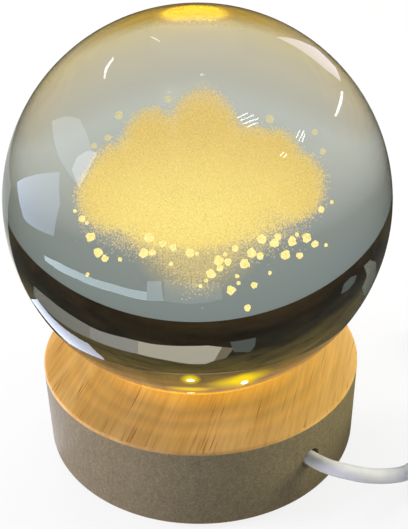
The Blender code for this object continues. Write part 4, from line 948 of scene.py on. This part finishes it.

# Loose points: thin under the cloud and about its rim; under the crown, larger points are painted light for a
# golden glow
LOOSE_COUNT = 4200
CROWN_GLOW_COUNT = 420
LOOSE_HALF_DEPTH = 0.005
places = []
for _ in range(LOOSE_COUNT):
    across = random.triangular(-1.15, 1.15, 0)
    fall = abs(random.gauss(0, 9)) + 34 * exp(-(across / 0.3) ** 2) * random.random()
    px, py = 196 + 105 * across, 246 - 20 * across**2 + fall
    places.append(into_ball(px, py, random.uniform(-LOOSE_HALF_DEPTH, LOOSE_HALF_DEPTH)))
for x, y, half_width, half_height in random.choices(BILLOWS[:8], areas[:8], k=LOOSE_COUNT // 3):
    angle = random.uniform(0, tau)
    reach = 1 + abs(random.gauss(0, 0.09))
    px, py = x + half_width * reach * cos(angle), y + half_height * reach * sin(angle)
    places.append(into_ball(px, py))
bm = bmesh.new()
burnt_points(bm, places, 0.00006, 0.00013)
# Painted light: larger points just under the crown, for the golden glow that the ball shows there.
places = []
for _ in range(CROWN_GLOW_COUNT):
    px = 196 + random.triangular(-62, 62, 0)
    entry, _, inside = bent_ray(px, 22 + 0.0022 * (px - 196) ** 2 + random.gauss(0, 1.8))
    places.append(entry + inside * random.uniform(0.0004, 0.0012))
burnt_points(bm, places, 0.00010, 0.00022)
loose = glowing_finish(
    "thin laser points and painted crown glow in glass", "#c8aa74", "#f6e3ae", 1500, 1.3, 1, Roughness=0.8, Base_Color="#2a2212"
)
finish_piece("loose_points_and_crown_glow", bm, [loose], "ball")

# Drops, each as the place and width of one in the picture, in pixels: small, middling and large
SMALL, MIDDLING, LARGE = 4.2, 7.2, 9.6
DROPS = [
    (75, 211, SMALL), (82, 219, MIDDLING), (87, 223, SMALL), (90.5, 237, LARGE), (98, 253, LARGE),
    (105, 258.5, MIDDLING), (120, 259.5, SMALL), (87.5, 274.5, SMALL), (149, 237.5, LARGE),
    (143.5, 253, LARGE), (152, 252, MIDDLING), (162.5, 244, MIDDLING), (173, 247.5, MIDDLING),
    (171, 264, SMALL), (190, 253, LARGE), (197, 254, SMALL), (219, 260.5, LARGE), (220, 268, MIDDLING),
    (228, 262, MIDDLING), (211, 273.5, LARGE), (225, 254.5, SMALL), (235, 248.5, MIDDLING),
    (245, 264, LARGE), (251.5, 253, LARGE), (260, 256, MIDDLING), (261.5, 239, LARGE), (274.5, 243, LARGE),
    (278, 236.5, MIDDLING), (285.5, 255, LARGE), (292, 241, LARGE), (297, 234.5, SMALL),
    (299.5, 255.5, MIDDLING), (306.5, 238, LARGE), (315, 244, MIDDLING), (326, 245, SMALL),
    (321.5, 209.5, MIDDLING), (332, 202, SMALL), (231, 290, LARGE), (254, 285, MIDDLING), (270, 273, SMALL),
    (237, 276, SMALL), (238.5, 283, SMALL), (206, 280.5, SMALL), (200.5, 286, SMALL),
    (247.5, 308, MIDDLING),
]
# Painted reflections: the drops mirrored inside the ball, drawn as faint glowing lumps in front of the cloud.
DROP_REFLECTIONS = [
    (119, 115, LARGE), (108, 137.5, MIDDLING), (94, 146, MIDDLING), (270, 119, LARGE), (315, 132, MIDDLING),
    (323, 151.5, MIDDLING), (168, 99, MIDDLING),
]
PIXELS_PER_METRE = 7100
DROP_DEPTHS = (-0.010, -0.007)


def clusters(places, roughness):
    """A rounded, uneven lump at each place, in front of the cloud."""
    bm = bmesh.new()
    for px, py, width in places:
        middle = into_ball(px, py, random.uniform(*DROP_DEPTHS))
        made = bmesh.ops.create_icosphere(bm, subdivisions=2, radius=width / 2 / PIXELS_PER_METRE)["verts"]
        for vert in made:
            vert.co *= random.uniform(1 - roughness, 1 + roughness)
        bmesh.ops.translate(bm, verts=made, vec=middle)
    return bm


def glowing_lump(name, low, high, strength):
    """The glow of a lump of burnt glass: paler on its facets' middles."""
    material, tree, shader = new_material(name, Roughness=0.6, Base_Color="#2a2212")
    facets = add(
        "TexVoronoi", {"Vector": add("TexCoord", tree=tree).outputs["Object"], "Scale": 2600}
    ).outputs["Distance"]
    feed(
        shader,
        Emission_Color=add("Mix", {0: facets, 6: high, 7: low}, data_type="RGBA").outputs[2],
        Emission_Strength=strength,
    )
    return material


bright_lump = glowing_lump("laser drops in glass", "#f0cb6c", "#fff6b4", 1.75)
drop_reflection_glow = glowing_lump("painted reflections of laser drops", "#c0b48e", "#d8cba2", 1.7)
finish_piece("cloud_drops", clusters(DROPS, 0.24), [bright_lump], "ball")
finish_piece("drop_reflections", clusters(DROP_REFLECTIONS, 0.1), [drop_reflection_glow], "ball")

# The chips' images where the foot of the glass gathers them: small white cores over yellow halos. A core is
# written as the place, width and height of one in the picture, in pixels.
CORES = [(190.5, 380.5, 10, 6), (191, 393, 11, 4.5), (244.5, 382.5, 10, 11)]
CORE_DEPTH = 0.0004
bm = bmesh.new()
for px, py, width, tall in CORES:
    entry, _, inside = bent_ray(px, py)
    thin = min(width, tall)
    made = bmesh.ops.create_icosphere(bm, subdivisions=3, radius=1 / 2 / PIXELS_PER_METRE)["verts"]
    bmesh.ops.scale(bm, verts=made, vec=(width, thin, tall))
    bmesh.ops.translate(bm, verts=made, vec=entry + inside * (CORE_DEPTH + thin / 2 / PIXELS_PER_METRE))
CORE_LOW, CORE_HIGH = (1.0, 0.92, 0.60, 1), (1.0, 1.0, 0.9, 1)
core = glowing_finish("image of a lit chip", CORE_LOW, CORE_HIGH, 1200, 7, Base_Color=(0, 0, 0, 1))
finish_piece("chip_cores", bm, [core], "ball")

# A halo follows the ball's lower outline: the degrees from straight down and half of the degrees it spans,
# the pixels from the ball's middle and half of its height, and how much it covers.
OUTLINE_MIDDLE = (196.5, 198)
HALOS = [
    (-1.9, 3.6, 181.5, 5.5, 1.0), (-1.7, 8.5, 191.4, 2.8, 0.8), (13.2, 11.5, 187.5, 6.8, 0.8),
    (14.5, 5.0, 187.5, 6.5, 1.0),
]
HALO_RINGS, HALO_STEPS = 7, 28
bm = bmesh.new()
cover = bm.verts.layers.float.new("cover")
for number, (turn, half_turn, far, half_height, peak) in enumerate(HALOS):
    rings_out = []
    for ring in range(HALO_RINGS + 1):
        reach = ring / HALO_RINGS
        line = []
        for step in range(HALO_STEPS):
            angle = tau * step / HALO_STEPS
            bearing = radians(turn + half_turn * reach * cos(angle))
            out = far + half_height * reach * sin(angle)
            px, py = OUTLINE_MIDDLE[0] + out * sin(bearing), OUTLINE_MIDDLE[1] + out * cos(bearing)
            entry, _, inside = bent_ray(px, py)
            vert = bm.verts.new(entry + inside * (0.0016 + 0.0001 * number))
            vert[cover] = peak * (1 - reach**2) ** 1.5
            line.append(vert)
        rings_out.append(line)
    for inner, outer in zip(rings_out, rings_out[1:]):
        for step in range(HALO_STEPS):
            after = (step + 1) % HALO_STEPS
            bm.faces.new((inner[step], outer[step], outer[after], inner[after]))
halo, tree, output = bare_material("halo of a lit chip")
thick = add("Attribute", tree=tree, attribute_name="cover").outputs["Fac"]
feed(output, Surface=faded_light(thick, (1.0, 0.70, 0.0, 1), 1.7))
finish_piece("chip_halos", bm, [halo], "ball")


# In-line switch
# Two white ABS shells, 42 mm long, screwed together round the lead, with a rocker in the upper one's window.
SWITCH_PLACE = Matrix.Translation((0.0930, 0.0177, 0))
SWITCH_HALF = (0.0210, 0.0065)
SWITCH_HEIGHT = 0.0105
SWITCH_SPLIT = 0.0056
SWITCH_CORNER = 0.0052
SWITCH_EDGE = 0.0010
WINDOW_HALF = (0.0075, 0.0037)
ROOM_HALF = (0.0135, 0.0053)
SHELL_WALL = 0.0012
BORE_RADIUS = 0.0019
BORE_HEIGHT = 0.005
SINK_PLACE = (0.0160, 0.0037)
ROCKER_TILT = radians(8)
PIVOT_Z = 0.0083

switch_abs = plain_finish("moulded white ABS", "#dededd", "#eaeae9", 1800, Roughness=0.38)


def shell_piece(name, split, upper, cuts, node):
    """One shell: a block rounded all round, cut at the split, hollowed and bored."""
    bm = bmesh.new()
    high = Vector((*SWITCH_HALF, SWITCH_HEIGHT))
    block(bm, (-high.x, -high.y, 0), high, SWITCH_CORNER, SWITCH_EDGE, corner_segments=12, edge_segments=5)
    everything = [*bm.verts, *bm.edges, *bm.faces]
    parting = {"plane_co": (0, 0, split), "plane_no": (0, 0, 1)}
    cut = bmesh.ops.bisect_plane(bm, geom=everything, clear_outer=not upper, clear_inner=upper, **parting)
    bmesh.ops.edgeloop_fill(bm, edges=[e for e in cut["geom_cut"] if isinstance(e, bmesh.types.BMEdge)])
    face_outward(bm)
    for made in (bm, *cuts):
        made.transform(SWITCH_PLACE)
    piece = finish_piece(name, bm, [switch_abs], "lamp", [node])
    carve(piece, cuts)
    return piece


def shell_tools(with_window):
    """The room inside a shell and the lead's bore, with the rocker's window or two screw sinks."""
    room = bmesh.new()
    high = (*ROOM_HALF, SWITCH_HEIGHT - SHELL_WALL)
    block(room, (-ROOM_HALF[0], -ROOM_HALF[1], SHELL_WALL), high, corner=0.001)
    bore = rod(BORE_RADIUS, 2 * SWITCH_HALF[0] + 0.004, 40)
    lying = Matrix.Translation((0, 0, BORE_HEIGHT)) @ Matrix.Rotation(pi / 2, 4, "Y")
    bore.transform(lying)
    tools = [room, bore]
    if with_window:
        window = bmesh.new()
        block(window, (-WINDOW_HALF[0], -WINDOW_HALF[1], 0.008), (*WINDOW_HALF, 0.0115), corner=0.0006)
        return [*tools, window]
    for side in (-1, 1):
        sink = rod(0.0019, 0.0028, 32)
        bmesh.ops.translate(sink, verts=sink.verts, vec=(side * SINK_PLACE[0], side * SINK_PLACE[1], 0))
        tools.append(sink)
    return tools


upper_split = SWITCH_SPLIT + CLEARANCE
switch_bottom = shell_piece("switch_bottom", SWITCH_SPLIT, False, shell_tools(False), "switch_lower_shell")
switch_top = shell_piece("switch_top", upper_split, True, shell_tools(True), "switch_upper_shell")

bm = bmesh.new()
rocker_half = WINDOW_HALF[0] - 0.0007
sag = 0.0009
bend = (rocker_half**2 + sag**2) / (2 * sag)
sweep = degrees(asin(rocker_half / bend))
top_line = arc((0, 0.0012 + bend), bend, 270 - sweep, 270 + sweep, 20)
outline = [*top_line, (rocker_half, -0.0002), (-rocker_half, -0.0002)]
width = WINDOW_HALF[1] - CLEARANCE
side_face = bm.faces.new([bm.verts.new((x, -width, z)) for x, z in outline])
across = bmesh.ops.extrude_face_region(bm, geom=[side_face])
far_side = [v for v in across["geom"] if isinstance(v, bmesh.types.BMVert)]
bmesh.ops.translate(bm, verts=far_side, vec=(0, 2 * width, 0))
face_outward(bm)
rims = [e for e in bm.edges if e.calc_face_angle(0) > radians(50)]
bmesh.ops.bevel(bm, geom=rims, offset=0.00025, segments=3, profile=0.5, affect="EDGES", material=-1)
rocker_place = SWITCH_PLACE @ Matrix.Translation((0, 0, PIVOT_Z)) @ Matrix.Rotation(ROCKER_TILT, 4, "Y")
bm.transform(rocker_place)
rocker_key = finish_piece("rocker_key", bm, [switch_abs], "rocker", ["switch_rocker"])
for piece in (switch_bottom, switch_top, rocker_key):
    keep_out_of_glass(piece)


# Plug
# A flat metal-shelled plug, 12.0 by 4.5 mm, in a soft white overmould whose ribbed tail holds the lead.
PLUG_PLACE = Matrix.Translation((0.0780, 0.0333, 0.0037))
RELIEF_LENGTH = 0.0110
RELIEF_RADIUS = 0.0024
RIB_DEPTH = 0.0003
PLUG_NOSE = 0.0350
PLUG_HALF = (0.00725, 0.0037)
TAIL_BORE = 0.0017

bm = bmesh.new()
pitch = RELIEF_LENGTH / 4.5
profile = [(TAIL_BORE, 0.0), (RELIEF_RADIUS, 0.0)]
for rib in range(4):
    low = (rib + 0.5) * pitch
    wide = RELIEF_RADIUS + 0.0010 * low / RELIEF_LENGTH
    dip = wide - RIB_DEPTH
    profile += [(wide, low), (dip, low + 0.0001), (dip, low + pitch / 2), (wide, low + pitch / 2 + 0.0001)]
profile += [(0.0034, RELIEF_LENGTH), (0.0034, RELIEF_LENGTH + 0.001), (TAIL_BORE, RELIEF_LENGTH + 0.001)]
turned(bm, profile, 48)
bm.transform(Matrix.Rotation(pi / 2, 4, "Y"))
low, high = (RELIEF_LENGTH, -PLUG_HALF[0], -PLUG_HALF[1]), (PLUG_NOSE, *PLUG_HALF)
block(bm, low, high, corner=0.0022, edge=0.0009, long_axis=0, corner_segments=8, edge_segments=4)
bm.transform(PLUG_PLACE)
overmould_pvc = plain_finish("moulded white PVC", "#dcdbe1", "#e8e7ee", 1400, Roughness=0.42)
plug_body = finish_piece("plug_body", bm, [overmould_pvc], "lamp", ["plug_overmould"])
for piece in (plug_body, nodes["plug_shell"], nodes["plug_tongue"]):
    keep_out_of_glass(piece)
nickel = plain_finish("nickel plated steel", "#c6c6c9", "#d9d9dc", 2500, Metallic=1.0, Roughness=0.22)
dress("plug_shell", nickel)
dress("plug_tongue", plain_finish("moulded white PBT", "#e4e4e2", "#f0f0ee", 1500, Roughness=0.4))


# Stage
# A plain pale table under soft daylight, with the darker room round it that the glass shows upside down.
FLOOR_RADIUS = 3.0
bm = bmesh.new()
bmesh.ops.create_circle(bm, cap_ends=True, segments=96, radius=FLOOR_RADIUS)
floor = placed("floor", mesh_of("floor", bm))
floor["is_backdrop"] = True
pale, tree, shader = new_material("pale table", Base_Color="#e8e8e6", Roughness=0.9)
path = add("LightPath", tree=tree).outputs
in_glass = add(
    "Math", {0: path["Is Transmission Ray"], 1: path["Is Glossy Ray"]}, operation="MAXIMUM"
).outputs[0]
seen = add("Math", {0: path["Is Camera Ray"], 1: in_glass}, operation="MAXIMUM").outputs[0]
# Through the ball the table is warm where the lamp shines on it and dims with distance.
place = add("TexCoord", tree=tree).outputs["Object"]
flat_distance = add("VectorMath", {0: place}, operation="LENGTH").outputs["Value"]
TABLE_TONES = [
    (0.0, (1.50, 1.20, 0.70)), (0.152, (1.52, 1.20, 0.70)), (0.178, (1.66, 1.32, 0.76)),
    (0.197, (1.80, 1.42, 0.78)), (0.240, (1.44, 1.18, 0.84)), (0.290, (1.16, 1.04, 0.88)),
    (0.320, (1.18, 1.15, 1.08)), (0.460, (0.50, 0.53, 0.51)), (0.620, (0.42, 0.47, 0.46)),
    (1.0, (0.36, 0.41, 0.41)),
]
table_tone = add(
    "ValToRGB",
    {"Fac": add("MapRange", {"Value": flat_distance, 1: 0.0, 2: 0.30}).outputs[0]},
    stops=TABLE_TONES,
).outputs["Color"]
# Just behind the base the lamp's own light colours it deep yellow.
where = add("SeparateXYZ", {0: place}).outputs
in_line = add(
    "MapRange",
    {
        "Value": add("Math", {0: where["X"]}, operation="ABSOLUTE").outputs[0],
        1: 0.010,
        2: 0.024,
        3: 1.0,
        4: 0.0,
    },
).outputs[0]
behind = add("MapRange", {"Value": where["Y"], 1: 0.020, 2: 0.035}).outputs[0]
lit_patch = add("Math", {0: in_line, 1: behind}, operation="MULTIPLY").outputs[0]
lit_patch = add(
    "Math",
    {
        0: lit_patch,
        1: add("MapRange", {"Value": flat_distance, 1: 0.050, 2: 0.060, 3: 1.0, 4: 0.0}).outputs[0],
    },
    operation="MULTIPLY",
).outputs[0]
table_colour = add(
    "Mix", {0: lit_patch, 6: table_tone, 7: (1.5, 0.85, 0.0, 1)}, data_type="RGBA"
).outputs[2]
shown = add(
    "Emission",
    {"Color": add("Mix", {0: in_glass, 6: (1, 1, 1, 1), 7: table_colour}, data_type="RGBA").outputs[2]},
).outputs[0]
SHOWN_SHARE = 0.85
share = add("Math", {0: seen, 1: SHOWN_SHARE}, operation="MULTIPLY").outputs[0]
lit_table = add("MixShader", {0: share, 1: shader.outputs[0], 2: shown}).outputs[0]
feed(tree.nodes["Material Output"], Surface=lit_table)
floor.data.materials.append(pale)


# The room that only the glass shows: a dark wall round the table, dark cloth before the lamp, pale shapes.
def glow_only(name, colour, strength=1.0):
    """An emission material from one hex colour, or from stops of height on the room's wall."""
    material, tree, output = bare_material(name)
    shine = add("Emission", {"Strength": strength}, tree=tree)
    if isinstance(colour, str):
        feed(shine, Color=colour)
    else:
        place = add("TexCoord", tree=tree).outputs["Object"]
        clutter = add(
            "TexNoise",
            {
                "Vector": add("Mapping", {"Vector": place, "Scale": (1, 1, 3)}).outputs[0],
                "Scale": 22,
                "Detail": 4,
                "Distortion": 0.6,
            },
        ).outputs["Fac"]
        height = add("SeparateXYZ", {0: place}).outputs["Z"]
        bands = add(
            "ValToRGB",
            {"Fac": add("MapRange", {"Value": height, 1: 0.0, 2: WALL_HEIGHT}).outputs[0]},
            stops=colour,
        ).outputs["Color"]
        level = add("MapRange", {"Value": clutter, 1: 0.35, 2: 0.65, 3: 0.55, 4: 1.35}).outputs[0]
        feed(
            shine,
            Color=add(
                "Mix", {0: 1.0, 6: bands, 7: level}, data_type="RGBA", blend_type="MULTIPLY"
            ).outputs[2],
        )
    feed(output, Surface=shine.outputs[0])
    return material


def only_in_glass(name, bm, material, through, mirrored):
    """A piece of the room that only the glass meets: seen through it, mirrored in it, or both."""
    piece = placed(name, mesh_of(name, bm))
    piece.data.materials.append(material)
    piece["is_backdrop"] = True
    piece.visible_camera = False
    piece.visible_diffuse = False
    piece.visible_shadow = False
    piece.visible_transmission = through
    piece.visible_glossy = mirrored


def ring_wall(name, foot, rise, material, through):
    """A round wall about the table."""
    bm = bmesh.new()
    circle = bmesh.ops.create_circle(bm, cap_ends=False, segments=96, radius=WALL_RADIUS)["verts"]
    bmesh.ops.translate(bm, verts=circle, vec=(0, 0, foot))
    up = bmesh.ops.extrude_edge_only(bm, edges=bm.edges[:])
    top = [v for v in up["geom"] if isinstance(v, bmesh.types.BMVert)]
    bmesh.ops.translate(bm, verts=top, vec=(0, 0, rise))
    only_in_glass(name, bm, material, through, True)


WALL_RADIUS = 0.285
WALL_FOOT = 0.001
WALL_HEIGHT = 0.22
CEILING_HEIGHT = 0.9
WALL_TONES = [
    (0.0, "#4c3a22"), (0.10, "#35291a"), (0.24, "#403828"), (0.32, "#6a5a30"), (0.50, "#94793a"),
    (0.75, "#a8883f"), (1.0, "#8f8a78"),
]
ring_wall("dark_wall", WALL_FOOT, WALL_HEIGHT, glow_only("dark wall", WALL_TONES), True)
# The wall's upper part, which the ball mirrors over its crown
ring_wall("upper_wall", WALL_HEIGHT, CEILING_HEIGHT - WALL_HEIGHT, glow_only("upper wall", "#6d6650"), False)

# Dark cloth on the table before and beside the lamp, open behind it on the left
CLOTH_RADII = (0.037, 0.2849)
CLOTH_HEIGHT = 0.0008
CLOTH_FROM_DEG, CLOTH_SPAN_DEG, CLOTH_STEPS = -215, 290, 42
bm = bmesh.new()
bearings = [radians(CLOTH_FROM_DEG + CLOTH_SPAN_DEG * step / CLOTH_STEPS) for step in range(CLOTH_STEPS + 1)]
ways = [(cos(bearing), sin(bearing)) for bearing in bearings]
inner, outer = [[bm.verts.new((r * x, r * y, CLOTH_HEIGHT)) for x, y in ways] for r in CLOTH_RADII]
for a, b, c, d in zip(inner, outer, outer[1:], inner[1:]):
    bm.faces.new((a, b, c, d))
only_in_glass("dark_cloth", bm, glow_only("dark cloth", "#2c2a26"), False, True)


def mirrored_from(px, py, reach):
    """Where the light that the ball mirrors at a pixel of the picture comes from."""
    entry, way, _ = bent_ray(px, py)
    normal = (entry - ball_centre) / BALL_RADIUS
    return entry + (way - 2 * way.dot(normal) * normal) * reach


def seen_through(px, py, wall):
    """The place on a round wall that the ball shows at a pixel of the picture."""
    entry, _, inside = bent_ray(px, py)
    local = entry - ball_centre
    leaving = local - 2 * local.dot(inside) * inside
    way = refracted(inside, -leaving / BALL_RADIUS, GLASS_IOR)
    start = leaving + ball_centre
    a, b, c = way.xy.length_squared, start.xy.dot(way.xy), start.xy.length_squared - wall**2
    return start + way * ((sqrt(b**2 - a * c) - b) / a)


def pale_shape(name, place_of, reach, colour, strength, corners):
    """A flat pale shape in the room, from its corners as they show in the picture."""
    bm = bmesh.new()
    bm.faces.new([bm.verts.new(place_of(px, py, reach)) for px, py in corners])
    bmesh.ops.triangulate(bm, faces=bm.faces[:])
    through = place_of is seen_through
    only_in_glass(name, bm, glow_only(name.replace("_", " "), colour, strength), through, not through)


# Windows, their sill and bright edges of the room, mirrored in the ball: how far off each lies, its colour,
# its strength, and its corners in pixels of the picture
MIRRORED = {
    "left_pane": (0.2, "#dfe6f6", 2.1, [
        (52, 121), (66, 116), (80, 119), (87, 134), (93, 153), (84, 170), (77, 184), (67, 171), (59, 157),
        (54, 140),
    ]),
    "pane_foot": (0.19, "#e8ecf8", 5.6, [(87, 151), (98, 152), (86, 176), (79, 187), (72, 170), (77, 157)]),
    "left_wall": (0.2, "#c2d2f4", 3.4, [(17, 182), (60, 172), (60, 205), (54, 236), (38, 230), (24, 219)]),
    "left_glint": (0.2, "#ffffff", 9.0, [
        (113, 57), (114, 59), (107.5, 69), (105, 79), (103.5, 78), (105, 68),
    ]),
    "right_glint": (0.2, "#ffffff", 9.0, [
        (341, 91), (343, 92), (341.5, 104), (336, 117), (334.5, 115), (338.5, 104),
    ]),
    "right_arc": (0.2, "#e6dcf2", 2.2, [
        (276, 37), (294, 39), (317, 49), (336, 68), (341, 82), (325, 69), (302, 51),
    ]),
    "top_scratch": (0.2, "#ffffff", 4.0, [(151, 36), (160, 41), (159.5, 42), (151, 37.5)]),
    "low_crescent": (0.045, "#cfdaf6", 3.2, [
        (31, 299), (37, 299), (51, 316.5), (69, 332), (88, 343.5), (104, 358.5), (112, 372), (97, 364),
        (77, 350), (57, 332), (41, 313),
    ]),
    "window_sill": (0.045, "#cadfec", 7.0, [
        (44, 255), (60, 263), (78, 271.5), (113, 284), (147, 292), (147, 300.5), (113, 292), (78, 279.5),
        (60, 271), (45, 260),
    ]),
    "sill_post": (0.045, "#cfe0ec", 3.8, [(147, 281), (161, 281), (164, 301), (147, 300.5)]),
    "sill_end": (0.045, "#cfd4c8", 1.9, [
        (164, 279), (192, 283), (220, 283), (223, 299), (192, 304), (164, 301),
    ]),
}
for name, shape in MIRRORED.items():
    pale_shape(name, mirrored_from, *shape)

# Window blinds, as strokes from end to end in the picture
BLINDS = [
    (237, 118, 248, 113), (240, 121, 254, 115), (243, 124, 259, 118.5), (247, 127, 258, 122.5),
    (296, 138, 300, 130), (299, 141, 304, 130), (302, 142, 305, 134), (280, 156, 284, 152),
    (283, 158, 287, 154),
]
BLIND_HALF_WIDTH = 0.7
for number, (x0, y0, x1, y1) in enumerate(BLINDS):
    over = BLIND_HALF_WIDTH / hypot(x1 - x0, y1 - y0)
    dx, dy = (y0 - y1) * over, (x1 - x0) * over
    corners = [(x0 + dx, y0 + dy), (x1 + dx, y1 + dy), (x1 - dx, y1 - dy), (x0 - dx, y0 - dy)]
    pale_shape(f"blind_{number + 1}", mirrored_from, 0.2, "#ffffff", 12.0, corners)

# A pale counter and a window frame in the far room, seen through the ball's foot, and pale edges at its right
THROUGH = {
    "far_counter": ("#efe0cc", 1.1, [
        (138, 341), (152, 344), (190, 346), (208, 345.5), (222, 347), (214, 361), (205, 364), (190, 364),
        (166, 360), (138, 354),
    ]),
    "counter_middle": ("#d0c6c0", 1.0, [
        (90, 326.5), (100, 331), (126, 338), (138, 341), (138, 354), (114, 347), (90, 338.5),
    ]),
    "counter_left": ("#b9b2aa", 1.0, [
        (34, 286), (48, 298), (67, 312.5), (84, 323), (90, 326.5), (90, 338.5), (74, 331), (55, 318),
        (34, 296),
    ]),
    "counter_end": ("#a5937e", 1.0, [(222, 347), (234, 348), (226, 358), (214, 361)]),
    "far_frame": ("#757671", 1.0, [(230, 342), (256, 337.5), (255, 346), (250, 352), (234, 352)]),
    "right_streak": ("#7e8481", 1.0, [
        (341, 294), (344, 284), (351, 277), (357, 275), (354, 283), (348, 290),
    ]),
    "right_limb": ("#b1afa5", 1.0, [
        (364, 266), (370, 260), (376, 262), (376, 272), (371, 288), (364, 296), (362, 288), (367, 276),
    ]),
}
BEFORE_WALL = 0.004
for name, shape in THROUGH.items():
    pale_shape(name, seen_through, WALL_RADIUS - BEFORE_WALL, *shape)


def soft_light(name, size, place, power, colour):
    """A rectangular soft light that faces the lamp and doesn't show in the glass."""
    data = bpy.data.lights.new(name, "AREA")
    data.shape = "RECTANGLE"
    data.size, data.size_y = size
    data.energy = power
    data.color = linear(colour)[:3]
    light = placed(name, data)
    facing = (Vector((0, 0, 0.03)) - Vector(place)).to_track_quat("-Z", "Y").to_matrix().to_4x4()
    light.matrix_world = Matrix.Translation(place) @ facing
    light.visible_glossy = False
    light.visible_transmission = False


soft_light("overhead", (0.7, 0.7), (0.0, 0.38, 0.82), 5.5, "#ffffff")
soft_light("left_window", (0.35, 0.5), (-0.8, -0.12, 0.35), 10.5, "#ece4ff")
soft_light("right_window", (0.3, 0.5), (0.8, 0.05, 0.35), 6.5, "#fff6d6")

world = bpy.data.worlds.new("room")
bpy.context.scene.world = world
world.use_nodes = True
tree = world.node_tree
backdrop = add(
    "MapRange", {"Value": add("LightPath", tree=tree).outputs["Is Camera Ray"], 1: 0, 2: 1, 3: 0.2, 4: 1.0}
).outputs[0]
feed(tree.nodes["Background"], Color="#fafafa", Strength=backdrop)

bpy.context.scene.view_settings.view_transform = "Standard"

# Size of what is shown
low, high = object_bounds()
